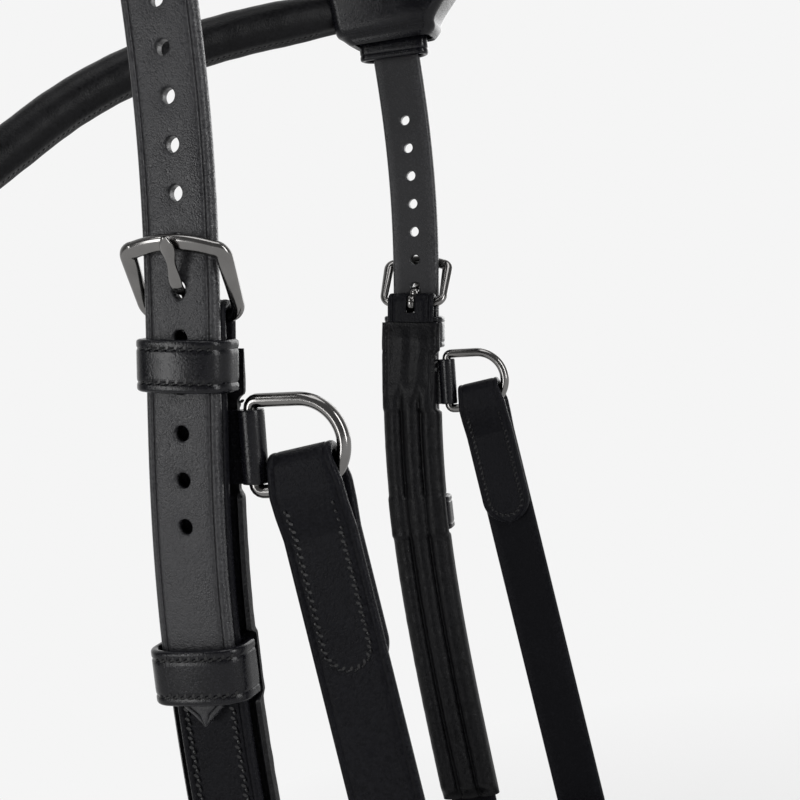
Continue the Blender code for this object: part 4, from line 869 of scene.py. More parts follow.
def chape_fold():
    """Half turn round the bar, as rows of outward place, distance up and thickness."""
    fold = arc(pi, 0, TURN_POINTS, CHAPE_RADIUS, (BAR_OUTWARD, 0.0))
    start = (BAR_OUTWARD - CHAPE_RADIUS, FIT - LINING_TOP_BELOW_PIVOT, CHAPE_THICK)
    end = (CHEEK_MIDDLE, -LINING_TOP_BELOW_PIVOT - CHEEK_THICK, CHEEK_THICK)
    return np.vstack((start, np.column_stack((fold, np.full(TURN_POINTS, CHAPE_THICK))), end))


def cheek_strap_table():
    """Outward place, height and thickness along the whole cheek strap."""
    top = chape_fold() + (0.0, PIVOT_HEIGHT, 0.0)
    bottom = NOSEBAND_HEIGHT - NOSEBAND_WIDTH / 2 - FIT - CHEEK_WRAP_SPARE
    tail = -HALF_FIT - CHEEK_THICK - FIT - CHAPE_THICK / 2
    turn = arc(0, -pi, TURN_POINTS, (CHEEK_MIDDLE - tail) / 2, ((CHEEK_MIDDLE + tail) / 2, bottom))
    turn = np.column_stack((turn, np.linspace(CHEEK_THICK, CHAPE_THICK, TURN_POINTS)))
    return even(np.vstack((top, turn, (tail, CHEEK_TAIL_TOP, CHAPE_THICK))), FINE, 2)[::-1]


def cut_tongue_slot(strap, pivot):
    """Cut a box out of the fold about the pivot, in which the tongue can turn."""
    foot, top = -EYE_RADIUS - TONGUE_THICK / 2 - FIT, CHAPE_RADIUS + CHAPE_THICK
    low, high = BAR_OUTWARD - top, BILLET_INNER + TONGUE_THICK
    corners = ((foot, low), (top, low), (top, high), (foot, high))
    ends = [np.vstack([at(pivot, side, up, away) for up, away in corners])
            for side in (-SLOT_HALF, SLOT_HALF)]
    cut_out(strap, skin("slot", np.stack(ends)))


def face_line(points, across, thick, offset):
    """Line on a strap's grain side, a distance across from its middle, and the side's normals."""
    normal = rows(np.cross(across, np.gradient(points, axis=0)))
    return points + column(offset) * across + thick / 2 * normal, normal


def make_cheek_straps():
    """Strap through the cheek table, slotted for the tongue, and its two rows of stitches."""
    out, height, thick = cheek_strap_table().T
    line = cheek_frames(height)
    points = at(line, outward=out)
    strap = ribbon("left_cheek_leather", points, line.across, STRAP_WIDTH / 2, thick,
                   strap_section((CREASE, SEAM), STRAP_POINTS, CHEEK_EDGE_ROUND))
    cut_tongue_slot(strap, cheek_frames((PIVOT_HEIGHT,)))
    fit_pair(strap, DARK_LEATHER, "bridle", "left_cheek_strap")
    plain = (out > 0) & (height < LOWER_KEEPER[0] - POINT_LENGTH) & (height > NOSEBAND_HEIGHT)
    lines = [face_line(points[plain], line.across[plain], CHEEK_THICK, side * (STRAP_WIDTH / 2 - SEAM[0]))
             for side in (1, -1)]
    fit_pair(stitch_rows("left_cheek_stitching", lines), THREAD, "bridle")


make_cheek_straps()

# %% [markdown]
# ## Keepers and collars
# A keeper is a short band of leather sewn round the straps. Its outer face bulges a little,
# because wet leather is pressed over the strap and dries there. A bevelled cylinder would be
# quicker to make, but a strap's own section, carried round a rounded box, brings its rubbed
# edges and its two sewn grooves with it.

# %% Keepers and collars
KEEPER_SEAM = (2.3 * MM, 0.6 * MM, 0.24 * MM)
KEEPER_BULGE = 1.5 * MM
KEEPER_CORNER = 3.9 * MM


def hoop_line(half_inside, low_inside, high_inside, thick):
    """Middle line of a band: a rounded box, its front bulged by 1 less the square of the way out."""
    side, low, high = half_inside + thick / 2, low_inside - thick / 2, high_inside + thick / 2
    box = fillet(((-side, low), (side, low), (side, high), (-side, high)),
                 (thick, thick, KEEPER_CORNER, KEEPER_CORNER), closed=True)
    box = even_loop(box, FINE)
    front = ease((box[:, 1] - low) / (high - low))
    box[:, 1] += KEEPER_BULGE * front * (1 - (box[:, 0] / side) ** 2)
    return box


def hoop_seams(station, box, half_inside, middle, thick, length, sides):
    """Lines on the bulged face of a band, a seam's inset from each of the named edges."""
    front = (box[:, 1] > middle) & (np.abs(box[:, 0]) < half_inside)
    order = np.argsort(box[front, 0])
    across, away = box[front][order].T
    normal = rows(station.outward + column(2 * KEEPER_BULGE * across / half_inside**2) * station.across)
    base = at(station, across, 0, away + thick / 2)
    return [(base + side * (length / 2 - KEEPER_SEAM[0]) * station.along, normal) for side in sides]


def make_hoop(fitted, name, body, node_name, station, inside, length, thick=KEEPER_THICK, seam_sides=()):
    """Keeper or collar round a stack of straps, and the stitches along its face."""
    half_inside, low_inside, high_inside = inside
    box = hoop_line(*inside, thick)
    section = strap_section((KEEPER_SEAM,) if seam_sides else (), BAND_POINTS, KEEPER_EDGE_ROUND)
    points = at(station, box[:, 0], 0, box[:, 1])
    piece = ribbon(name, points, station.along[0], length / 2, thick, section, loop=True)
    fitted(piece, KEEPER_LEATHER, body, node_name)
    if seam_sides:
        middle = (low_inside + high_inside) / 2
        lines = hoop_seams(station, box, half_inside, middle, thick, length, seam_sides)
        fitted(stitch_rows(name.replace("leather", "stitching"), lines, FINE_PITCH), THREAD, body)


def make_keepers():
    """Upper and lower keeper on each cheek."""
    for label, (height, length, room) in (("upper", UPPER_KEEPER), ("lower", LOWER_KEEPER)):
        inside = (STRAP_WIDTH / 2 + room, -HALF_FIT, BILLET_OUTER + FIT)
        node_name = f"left_{label}_keeper"
        make_hoop(fit_pair, f"{node_name}_leather", "bridle", node_name, cheek_frames((height,)), inside,
                  length, seam_sides=(1, -1))


def make_collars():
    """Collar that closes the headpiece end on the billet, leaning with its rear side down."""
    drop = END_BAND_WIDTH / 2 * sin(END_BAND_LEAN) + END_BAND_LENGTH / 2 + FIT
    level = cheek_frames((HEADPIECE_END_HEIGHT - drop,))
    station = level._replace(along=cos(END_BAND_LEAN) * level.along + sin(END_BAND_LEAN) * level.across,
                             across=cos(END_BAND_LEAN) * level.across - sin(END_BAND_LEAN) * level.along)
    inside = (END_BAND_WIDTH / 2 - KEEPER_THICK, BILLET_INNER - FIT, BILLET_OUTER + FIT)
    make_hoop(fit_pair, "left_collar_leather", "bridle", "left_headpiece_end_band", station, inside,
              END_BAND_LENGTH, seam_sides=(-1,))


make_keepers()
make_collars()

# %% [markdown]
# ## Browband loops
# The end of the browband is a wide leather loop that gathers the padded headpiece. A box
# with a Solidify modifier would have a wall of even thickness too. Here the wall is one skin:
# outer boxes carried down, a rounded rim, and inner boxes carried back up. The sizes of the
# boxes are softened, so the loop flows in towards its lip.

# %% Browband loops
LIP_DEPTH_SHARE = 0.5
LOOP_CORNER_POINTS = 12
LOOP_ROUNDS = 2


def headpiece_halves(far):
    """Front and rear half widths of the headpiece, a distance from the poll."""
    neck = ease((far - reach_at(HEADPIECE_END_HEIGHT) + HEADPIECE_NECK_LENGTH) / HEADPIECE_NECK_LENGTH)
    ear = ease((far - POLL_FLAT_HALF) / EAR_CUT_LENGTH)
    front = HEADPIECE_FRONT_HALF + ear * (HEADPIECE_EAR_HALF - HEADPIECE_FRONT_HALF)
    front = front + neck * (HEADPIECE_END_HALF - HEADPIECE_EAR_HALF)
    rear = HEADPIECE_REAR_HALF + neck * (HEADPIECE_END_HALF - HEADPIECE_REAR_HALF)
    return front, rear


def headpiece_pad_thick(far):
    """Thickness of the cushion: full at the poll, falling with the square of the distance."""
    middle = POLL_PAD_THICK - HALF_FIT
    return middle + (far / reach_at(HEADPIECE_END_HEIGHT)) ** 2 * (HEADPIECE_PAD_END_THICK - middle)


def loop_sections():
    """Rows of distance up, slope, front, rear, low and high room, from the lip to the top."""
    rear = HEADPIECE_REAR_HALF + HEADPIECE_PAD_MARGIN + FIT
    front = HEADPIECE_EAR_HALF + HEADPIECE_PAD_MARGIN + FIT
    mouth = LOOP_MOUTH_HALF - KEEPER_THICK
    lip = mouth + LOOP_LIP_SWELL
    slope = tan(END_BAND_LEAN)
    neck = HEADPIECE_END_HEIGHT + HEADPIECE_NECK_LENGTH
    table = []
    station = cheek_frames((BROWBAND_HEIGHT,))
    for height, tilt, ahead, behind, share in (
            (LOOP_BOTTOM, slope, mouth, mouth, LIP_DEPTH_SHARE),
            (LOOP_BOTTOM + LOOP_LIP_SWELL, slope, lip, lip, LIP_DEPTH_SHARE),
            (LOOP_BOTTOM + 2 * LOOP_LIP_SWELL, slope / 2, front, lip, 1.0),
            (neck - LOOP_LIP_SWELL, 0.0, front, rear, 1.0), (LOOP_TOP, 0.0, front, rear, 1.0)):
        there = crown_frames(reach_at(height))
        depths = (-HALF_FIT - headpiece_pad_thick(reach_at(height)), BILLET_OUTER + FIT + HEADPIECE_THICK)
        low, high = (((at(there, outward=depth) - station.point) @ station.outward.T).item()
                     for depth in depths)
        table.append((height - BROWBAND_HEIGHT, tilt, ahead, behind, share * (low - FIT), high + FIT))
    return station, soften(np.array(table), LOOP_ROUNDS)


def make_browband_loops():
    """Wall round the softened boxes, with rounded rims."""
    station, table = loop_sections()
    half, third = KEEPER_THICK / 2, KEEPER_THICK / 3
    walls = ([(row, KEEPER_THICK, 0.0) for row in table] + [(table[-1], half, third)]
             + [(row, 0.0, 0.0) for row in table[::-1]] + [(table[0], half, -third)])
    rings = []
    for (up, slope, front, rear, low, high), grow, proud in walls:
        box = fillet(((-front - grow, low - grow), (rear + grow, low - grow), (rear + grow, high + grow),
                      (-front - grow, high + grow)), KEEPER_THICK + grow, True, LOOP_CORNER_POINTS)
        rings.append(at(station, box[:, 0], up + proud - box[:, 0] * slope, box[:, 1]))
    piece = skin("left_loop_leather", np.stack(rings), loop=True)
    fit_pair(piece, KEEPER_LEATHER, "bridle", "left_browband_loop")


make_browband_loops()

# %% [markdown]
# ## Browband
# The browband is leather rolled round a soft core and sewn along its underside, where the
# seam draws it in. A bevelled curve would be quicker, but it has no seam: this tube's radius
# is drawn in at the loops, swells and shrinks a little, and dips in a bell at the seam. The
# line bows forward round the forehead and droops to the middle.

# %% Browband
BROWBAND_TURN_SHARE = 0.25
BROWBAND_BOW_SHARE = 1.3
BROWBAND_DROOP_SHARE = 2.35
BROWBAND_DRAWN_SHARE = 0.06
BROWBAND_SPOTS = 6
BROWBAND_ROUNDS = 5
ROLL_SIDES = 40
ROLL_END_SPOTS = 6
ROLL_SEAM_DEPTH = 0.7 * MM
ROLL_SEAM_ANGLE = radians(-75)
ROLL_SEAM_SPREAD = 0.14
ROLL_SWELL_SHARE = 0.008
ROLL_WAVES = (190, 47)


def browband_line():
    """Bow round the forehead: powers of the share of the way in, softened at the middle."""
    gap = HEADPIECE_EAR_HALF + HEADPIECE_PAD_MARGIN + KEEPER_THICK + 2 * FIT
    start = at(cheek_frames((BROWBAND_HEIGHT,)), -gap, 0, CHEEK_MIDDLE)[0]
    share = np.linspace(1, BROWBAND_TURN_SHARE, BROWBAND_SPOTS)
    side = np.stack((start[0] * share, start[1] - BROWBAND_REACH * (1 - share**BROWBAND_BOW_SHARE),
                     start[2] - BROWBAND_SAG * (1 - share) ** BROWBAND_DROOP_SHARE), axis=1)
    step = side[-1] - side[-2]
    tip = side[-1] - step * side[-1][0] / step[0]
    return even(soften(np.vstack((side, tip, side[::-1] * (-1, 1, 1))), BROWBAND_ROUNDS), 2 * FINE)


def make_browband():
    """Tube round the line, and the row of stitches along its seam."""
    line = browband_line()
    tangent = rows(np.gradient(line, axis=0))
    tangent[0] = -cheek_frames((BROWBAND_HEIGHT,)).across[0]
    tangent[-1] = -tangent[0] * (-1, 1, 1)
    level = rows(np.cross(tangent, UP))
    roll = Frames(line, tangent, level, np.cross(level, tangent))
    share = travelled(line) / travelled(line)[-1]
    full = ease(np.minimum(share, 1 - share) / BROWBAND_DRAWN_SHARE)
    radius = (BROWBAND_END_DIAMETER + full * (BROWBAND_DIAMETER - BROWBAND_END_DIAMETER)) / 2
    swell, drift = ROLL_WAVES
    radius = radius * (1 + ROLL_SWELL_SHARE * np.sin(share * swell) * np.sin(share * drift + 1))
    angle = np.linspace(0, 2 * pi, ROLL_SIDES, endpoint=False)
    off_seam = (angle - ROLL_SEAM_ANGLE + pi) % (2 * pi) - pi
    radii = radius[:, None] - ROLL_SEAM_DEPTH * np.exp(-((off_seam / ROLL_SEAM_SPREAD) ** 2))
    piece = skin("browband_roll_leather", laid(roll, radii * np.cos(angle), radii * np.sin(angle)))
    fit(piece, LINING_LEATHER, "bridle", "browband_roll")
    keep = slice(ROLL_END_SPOTS, -ROLL_END_SPOTS)
    under = cos(ROLL_SEAM_ANGLE) * level + sin(ROLL_SEAM_ANGLE) * roll.outward
    seam = (line + column(radius - ROLL_SEAM_DEPTH) * under)[keep], under[keep]
    fit(stitch_rows("browband_roll_stitching", (seam,)), THREAD, "bridle")


make_browband()

# %% [markdown]
# ## Headpiece
# The crown strap is cut wide, with its front edge hollowed for the ears, and rises over the
# roots of the billets. A cushion lies under it, with one sewn channel down its middle and
# one near each edge. Cloth could be simulated and blown up for it, but this is thin leather
# drawn tight over foam. So its depth across its width is a squared circle, full nearly to
# its edges, less a bell at each channel, and it comes out the same on every run.

# %% Cushions
POLL_CHANNEL_SHARES = ((0.0, 0.07, 0.16), (-0.8, 0.05, 0.12), (0.8, 0.05, 0.12))
POLL_GATHERS = (9.0 * MM, 0.16 * MM)
CUSHION_POINTS = 49
CUSHION_BACK_POINTS = 35
CUSHION_POWER = 5.0
SECOND_WAVE_SHARE = 0.6
SECOND_WAVE_LENGTH_SHARE = 1.7
SECOND_WAVE_SLANT = 3
GATHER_SPACING_SHARE = 5.3


def cushion_section(grooves, count=CUSHION_POINTS, power=CUSHION_POWER):
    """Shares (across, depth): a squared circle on the soft side, less bells (place, width, depth)."""
    across = np.sin(np.linspace(-pi / 2, pi / 2, count))
    depth = (1 - np.abs(across) ** power) ** (1 / power)
    for place, width, deep in grooves:
        depth = depth * (1 - deep * np.exp(-(((across - place) / width) ** 2)))
    back = np.sin(np.linspace(pi / 2, -pi / 2, CUSHION_BACK_POINTS))[1:-1]
    return np.concatenate((across, back)), np.concatenate((-depth, 0 * back))


def pucker(distance, across, pitch, size):
    """Soft gathers: a few sine waves of unlike lengths, the same on every run."""
    slanted = 2 * pi * distance / (pitch * SECOND_WAVE_LENGTH_SHARE) + SECOND_WAVE_SLANT * across
    wave = np.sin(2 * pi * distance / pitch) + SECOND_WAVE_SHARE * np.sin(slanted)
    return size * wave * np.sin(2 * pi * distance / (pitch * GATHER_SPACING_SHARE) + 1)


print("points in a cushion's section", len(cushion_section(POLL_CHANNEL_SHARES)[0]))

# %% Headpiece
CROWN_SIDE_RINGS = 110
CROWN_POINTS = 15


def crown_reaches():
    """Distances along the crown: dense on the sides, with the flat at the poll left straight."""
    end = reach_at(HEADPIECE_END_HEIGHT)
    side = np.linspace(POLL_FLAT_HALF, end, CROWN_SIDE_RINGS)
    return np.concatenate((-side[::-1], side)), end


def make_crown_strap():
    """Crown strap, raised by a smooth step over the billets' roots, with its two sewn edges."""
    reach, end = crown_reaches()
    far, line = np.abs(reach), crown_frames(reach)
    front, rear = headpiece_halves(far)
    rise = ease((far - BILLET_ROOT_REACH + LAYER_RISE_LENGTH) / (LAYER_RISE_LENGTH - FIT))
    low = HALF_FIT + rise * (BILLET_OUTER + FIT - HALF_FIT)
    middle = line._replace(point=at(line, (rear - front) / 2, 0, low + HEADPIECE_THICK / 2))
    half = (front + rear) / 2
    section = strap_section((SEAM,), CROWN_POINTS)
    lift = np.tile(section.lift * HEADPIECE_THICK + section.depth, (len(reach), 1))
    rings = laid(middle, section.share * half[:, None] + section.shift, lift)
    crown = skin("headpiece_crown_leather", rings, edge=section.edge)
    fit(crown, BRIDLE_LEATHER, "bridle", "headpiece_top")
    inside = far < end - HEADPIECE_NECK_LENGTH
    lines = [(at(middle, side * (half - SEAM[0]), 0, HEADPIECE_THICK / 2 - SEAM[2])[inside],
              line.outward[inside]) for side in (1, -1)]
    fit(stitch_rows("headpiece_crown_stitching", lines), THREAD, "bridle")


def make_headpiece_cushion():
    """Cushion a little wider than the crown strap, gathered softly away from the poll."""
    reach, end = crown_reaches()
    far = np.abs(reach)
    front, rear = headpiece_halves(far)
    across, depth = cushion_section(POLL_CHANNEL_SHARES)
    half = (front + rear) / 2 + HEADPIECE_PAD_MARGIN * ease((end - far) / HEADPIECE_NECK_LENGTH)
    free = (depth < 0) * ease((far[:, None] - POLL_FLAT_HALF) / BILLET_THICK)
    depth = (depth * headpiece_pad_thick(far)[:, None] - HALF_FIT
             + pucker(reach[:, None], across, *POLL_GATHERS) * free)
    across = across * half[:, None] + (rear - front)[:, None] / 2
    cushion = skin("headpiece_cushion", laid(crown_frames(reach), across, depth))
    fit(cushion, LINING_LEATHER, "bridle", "headpiece_padding")


make_crown_strap()
make_headpiece_cushion()

# %% [markdown]
# ## Cheek linings
# Behind each cheek strap lies a soft lining: a sewn panel with soft folds behind the buckle,
# and below it three padded ridges with two sewn channels between them. Sculpting would suit
# one such pad, but a formula dresses both sides alike. The section passes smoothly from
# panel to ridges. Where a keeper or the dee's tab lies between strap and lining, the outer
# side is pressed in to leave room.

# %% Channels, folds and seams of the linings
RIDGE_PLACE_SHARE = 0.33
PANEL_EDGE_SHARE = 0.84
RIDGE_GROOVE_SHARES = [(place, width, deep) for place in (-RIDGE_PLACE_SHARE, RIDGE_PLACE_SHARE)
                 for width, deep in ((0.17, 0.24), (0.05, 0.28))]
PANEL_GROOVE_SHARES = [(place, 0.05, 0.16) for place in (-PANEL_EDGE_SHARE, PANEL_EDGE_SHARE)]
RIDGE_POWER = 3.0
LINING_RINGS = 330
LINING_POINTS = 61
LINING_END_SHARE = 0.55
LINING_PANEL_SHARE = 0.75
LINING_GATHERS = (7.0 * MM, 0.09 * MM)
RIDGE_SEAM_SHARE = 0.5
PANEL_SEAM_SHARE = 0.80
W_SEAM_SHARE = 0.82
W_FOOT_SHARE = 0.42
W_SIDE_HEIGHT = 6.0 * MM
W_MIDDLE_HEIGHT = 5.0 * MM
W_SEAM = np.array(((-PANEL_EDGE_SHARE, W_SIDE_HEIGHT), (-W_FOOT_SHARE, 0.0), (0.0, W_MIDDLE_HEIGHT),
                   (W_FOOT_SHARE, 0.0), (PANEL_EDGE_SHARE, W_SIDE_HEIGHT)))
PANEL_FOLDS = 3.2
PANEL_SWAY_SHARE = 0.13
PANEL_FOLD_LENGTH = 4.6 * MM
PANEL_FOLD_DEPTH = 0.26 * MM
LIP_HEIGHT = 1.1 * MM
LIP_PLACE_SHARE = 0.93
LIP_SPREAD_SHARE = 0.05
TAB_ROOM_SHARE = 0.13
PANEL_FOOT = LINING_TOP - LINING_PANEL_LENGTH


def dee_station():
    """Frame of the dee: its bar runs along, and its bow stands out across."""
    cheek = cheek_frames((DEE_STATION_HEIGHT,))
    middle = at(cheek, LINING_WIDTH / 2 + DEE_BAR_OUTSIDE_LINING, 0, -HALF_FIT - TAB_THICK / 2)
    return Frames(middle, np.array(((0.0, sin(DEE_TILT), cos(DEE_TILT)),)),
                  np.array(((0.0, cos(DEE_TILT), -sin(DEE_TILT)),)), np.array(((1.0, 0.0, 0.0),)))


def pressed(height, centre, half_length, blend):
    """1 within a half length of a height, easing to 0 beyond it."""
    return ease((half_length + blend - np.abs(height - centre)) / blend)


def lining_room(height):
    """How far the outer side is pressed in, for the keepers and the tab, and the tab's share of it."""
    tab = pressed(height, DEE_STATION_HEIGHT, TAB_HALF_HEIGHT + BAR_RADIUS, CHAPE_THICK)
    room = (TAB_THICK + FIT) * tab
    for centre, length, _ in (UPPER_KEEPER, LOWER_KEEPER):
        band = pressed(height, centre, length / 2 + FIT, CHAPE_THICK)
        room = np.maximum(room, (KEEPER_THICK + FIT) * band)
    return room, tab


def lining_seams(height, thick):
    """Sewn lines: the channels, the panel's edges, and the W where panel and ridges meet."""
    lines = []
    for place, share, low, high in (
            (RIDGE_PLACE_SHARE, RIDGE_SEAM_SHARE, LINING_FOOT + LINING_THICK, PANEL_FOOT - LINING_THICK),
            (PANEL_EDGE_SHARE, PANEL_SEAM_SHARE, PANEL_FOOT + LINING_THICK, LINING_TOP - BAR_RADIUS)):
        spots = (height > low) & (height < high)
        some, depth = cheek_frames(height[spots]), -HALF_FIT - share * thick[spots]
        lines += [(at(some, side * place * LINING_WIDTH / 2, 0, depth), -some.outward) for side in (-1, 1)]
    w_seam = even(W_SEAM * (LINING_WIDTH / 2, 1), FINE, 2)
    some = cheek_frames(PANEL_FOOT + LINING_THICK / 2 + w_seam[:, 1])
    depth = -HALF_FIT - W_SEAM_SHARE * LINING_THICK * LINING_PANEL_SHARE
    return lines + [(at(some, w_seam[:, 0], 0, depth), -some.outward)]


print("the panel ends", PANEL_FOOT / MM, "mm and the lining", LINING_FOOT / MM, "mm up")

# %% Cheek linings
def make_cheek_linings():
    """Lining from panel to ridges: folds are cosines across, its raised lip a bell at each edge."""
    height = np.linspace(LINING_FOOT, LINING_TOP, LINING_RINGS)[:, None]
    full = ease((PANEL_FOOT + LINING_THICK - height) / (2 * LINING_THICK))
    ends = ease(np.minimum(LINING_TOP - height, height - LINING_FOOT) / LINING_THICK)
    across, panel = cushion_section(PANEL_GROOVE_SHARES, LINING_POINTS)
    _, ridge = cushion_section(RIDGE_GROOVE_SHARES, LINING_POINTS, RIDGE_POWER)
    deep = panel + full * (ridge - panel)
    share = LINING_PANEL_SHARE + full * (1 - LINING_PANEL_SHARE)
    thick = LINING_THICK * (LINING_END_SHARE + ends * (share - LINING_END_SHARE))
    room, tab = lining_room(height)
    sway = across * PANEL_FOLDS + PANEL_SWAY_SHARE * np.sin(height / PANEL_FOLD_LENGTH)
    soft = pucker(height, across, *LINING_GATHERS) * (deep < 0)
    soft = soft + PANEL_FOLD_DEPTH * (1 - full) * ends * np.cos(pi * sway) * (1 - across**2) * (deep < 0)
    from_lip = (np.abs(across) - LIP_PLACE_SHARE) / LIP_SPREAD_SHARE
    lip = LIP_HEIGHT * np.exp(-(from_lip**2)) * (deep == 0) * full * ends
    lip = lip * (1 - np.minimum(room / CHAPE_THICK, 1))
    depth = deep * (thick - room) - room - HALF_FIT + soft + lip
    wide = across * np.where(across > 0, 1 - TAB_ROOM_SHARE * tab, 1.0) * LINING_WIDTH / 2
    lining = skin("left_cheek_cushion", laid(cheek_frames(height[:, 0]), wide, depth))
    for piece in fit_pair(lining, LINING_LEATHER, "bridle", "left_cheek_lining"):
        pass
    seams = stitch_rows("left_cheek_cushion_stitching", lining_seams(height[:, 0], thick[:, 0]))
    fit_pair(seams, THREAD, "bridle")


make_cheek_linings()

# %% [markdown]
# ## Buckles
# The frame is one bent bar, round where the strap turns on it and broad and arched across the
# top, where the tongue rests. The tongue is a flat bar curled round the pivot; it comes out
# through the hole and ends in a small leaf. Both could be curves with a bevel, but the bar
# changes its section on the way round, so its rings are worked out one by one: a squared
# circle, stretched in the frame's plane and flattened across it.

# %% Frames of the buckles
BAR_FULLNESS = 0.95
BAR_SQUARENESS = 0.9
BAR_SIDES = 32


def bent_bar(name, points, normal, section, in_plane=1.0, deep=1.0):
    """Bar bent in a closed line: a section stretched in the line's plane and across it."""
    side = rows(np.cross(heading(points), normal))
    bend = Frames(points, None, side, np.broadcast_to(normal, points.shape))
    return skin(name, laid(bend, in_plane * section[:, 0], deep * section[:, 1]), loop=True)


def lifted():
    """Height of the top bar in the frame's plane, and the plane's slope as (along, outward)."""
    lift = np.array((BUCKLE_RISE, BUCKLE_TOP_OUTWARD - BAR_OUTWARD))
    top = np.linalg.norm(lift)
    return top, lift / top


def buckle_line(top):
    """Middle line of the frame: quarter circles at the corners and a parabola across the top."""
    half = BUCKLE_INNER_WIDTH / 2 + BUCKLE_SIDE_RADIUS
    line = fillet(((-half, 0.0), (half, 0.0), (half, top), (-half, top)),
                  np.repeat((BUCKLE_FOOT_CORNER, BUCKLE_TOP_CORNER), 2), closed=True)
    line = even_loop(line, FINE / 2)
    share = np.clip(np.abs(line[:, 0]) / (half - BUCKLE_TOP_CORNER), 0, 1)
    line[:, 1] += BUCKLE_ARCH * (1 - share**2) * (line[:, 1] > top - HALF_FIT)
    return line


def buckle_frame(name, pivot):
    """Bar carried round the frame's line, broader and flatter towards the top."""
    top, lift = lifted()
    line = buckle_line(top)
    up = lift[0] * pivot.along + lift[1] * pivot.outward
    normal = lift[0] * pivot.outward - lift[1] * pivot.along
    points = at(pivot, outward=BAR_OUTWARD) + line[:, :1] * pivot.across + line[:, 1:] * up
    high = column(ease(line[:, 1] / top))
    circle = arc(0, 2 * pi, BAR_SIDES, closed=True)
    section = BAR_FULLNESS * np.sign(circle) * np.abs(circle) ** BAR_SQUARENESS
    stretches = (BAR_RADIUS + high * (top_half - BAR_RADIUS)
                 for top_half in (BUCKLE_TOP_HALF_HEIGHT, BUCKLE_TOP_HALF_DEPTH))
    return bent_bar(name, points, normal, section, *stretches)


print("bar of a buckle", travelled(buckle_line(lifted()[0]))[-1] / MM, "mm long")

# %% Tongues of the buckles
TONGUE_SIDES = 20
TONGUE_FROM_TIP = np.array((0.0, 0.7, 1.8, 3.2, 4.8, 6.6, 8.2, 11.0)) * MM
TONGUE_WIDTHS = np.array((1.1, 2.2, 3.3, 3.9, 3.2, 2.1, 2.4, 3.3)) * MM
TONGUE_EDGE_SHARE = 0.4
TONGUE_BLUNT_SHARE = 0.02
TONGUE_BLUR = 5
EYE_POINTS = 28


def tongue_line():
    """Line of the tongue as (outward, along): an arc round the bar, then out and over the top."""
    top, lift = lifted()
    eye = arc(pi / 2, 2 * pi, EYE_POINTS, EYE_RADIUS, (BAR_OUTWARD, 0.0))
    up, normal = lift[::-1], lift * (1, -1)
    crest = np.array((BAR_OUTWARD, 0.0)) + up * (top + BUCKLE_ARCH)
    crest = crest + normal * (BUCKLE_TOP_HALF_DEPTH + FIT + TONGUE_THICK / 2)
    tip = crest + up * (BUCKLE_TOP_HALF_HEIGHT + TONGUE_OVERLAP)
    rise, start = PIVOT_TO_TONGUE_HOLE, BAR_OUTWARD + EYE_RADIUS
    shank = fillet(((start, 0.0), (start, rise - TONGUE_THICK / 2),
                    (BILLET_OUTER + TONGUE_THICK / 2, rise + TONGUE_THICK / 4),
                    crest - up * BUCKLE_TOP_HALF_HEIGHT, tip),
                   (0.0, TONGUE_THICK, 2 * TONGUE_THICK, 0.0, 0.0))
    return even(np.vstack((eye, shank[1:])), FINE / 2, 2)


def buckle_tongue(name, pivot):
    """Flat oval bar along the tongue's line, with a leaf at its end and a blunt tip."""
    line = tongue_line()
    from_tip = travelled(line)[-1] - travelled(line)
    width = np.interp(from_tip, TONGUE_FROM_TIP, TONGUE_WIDTHS)
    width = np.pad(width, TONGUE_BLUR // 2, mode="edge")
    width = np.convolve(width, np.full(TONGUE_BLUR, 1 / TONGUE_BLUR), mode="valid")
    end = np.sqrt(np.clip(from_tip / TONGUE_THICK, TONGUE_BLUNT_SHARE, 1))
    thick = TONGUE_THICK * (TONGUE_EDGE_SHARE + (1 - TONGUE_EDGE_SHARE) * end)
    lift, share = arc(0, 2 * pi, TONGUE_SIDES, closed=True).T
    flat = 0 * share
    oval = Section(share, flat, lift / 2, flat, flat)
    return ribbon(name, at(pivot, 0, line[:, 1], line[:, 0]), pivot.across[0], width / 2, thick, oval)


def make_cheek_buckles():
    """Frame and tongue on each cheek."""
    pivot = cheek_frames((PIVOT_HEIGHT,))
    bar = buckle_frame("left_cheek_buckle_bar", pivot)
    fit_pair(bar, STAINLESS, "bridle", "left_cheek_buckle_frame")
    pin = buckle_tongue("left_cheek_buckle_pin", pivot)
    fit_pair(pin, STAINLESS, "left_cheek_tongue", "left_cheek_buckle_tongue")


make_cheek_buckles()

# %% [markdown]
# ## Dees and their tabs
# The dee is round wire bent to a D. Its straight side turns in a leather tab, which is
# wrapped round it and sewn in between strap and lining. Half a torus and a cylinder could be
# joined for the wire, but one line with two small corners and a half circle has no seams.
# The tab is one skin, its outline carried along the wire and its round bore carried back.

# %% Dees and their tabs
DEE_SIDES = 20
DEE_CORNER_POINTS = 9
DEE_BOW_POINTS = 49
SLEEVE_POINTS = 41
TAB_POINTS = 72
TAB_RINGS = 9
TAB_RIM_SHARES = (0.985, 0.95)


def make_dees():
    """Circle carried round the D's line: two small corners and a half circle."""
    station = dee_station()
    corner = DEE_CORNER_RADIUS
    bend = arc(pi, pi / 2, DEE_CORNER_POINTS, corner, (corner, DEE_HALF_HEIGHT - corner))
    bow = arc(pi / 2, -pi / 2, DEE_BOW_POINTS, DEE_HALF_HEIGHT, (DEE_STRAIGHT, 0.0))
    line = even_loop(np.vstack((bend, bow, bend[::-1] * (1, -1))), FINE)
    circle = arc(0, 2 * pi, DEE_SIDES, DEE_WIRE_RADIUS, closed=True)
    dee = bent_bar("left_dee_wire", at(station, line[:, 0], line[:, 1]), station.outward, circle)
    fit_pair(dee, STAINLESS, "left_dee_ring", "left_dee")


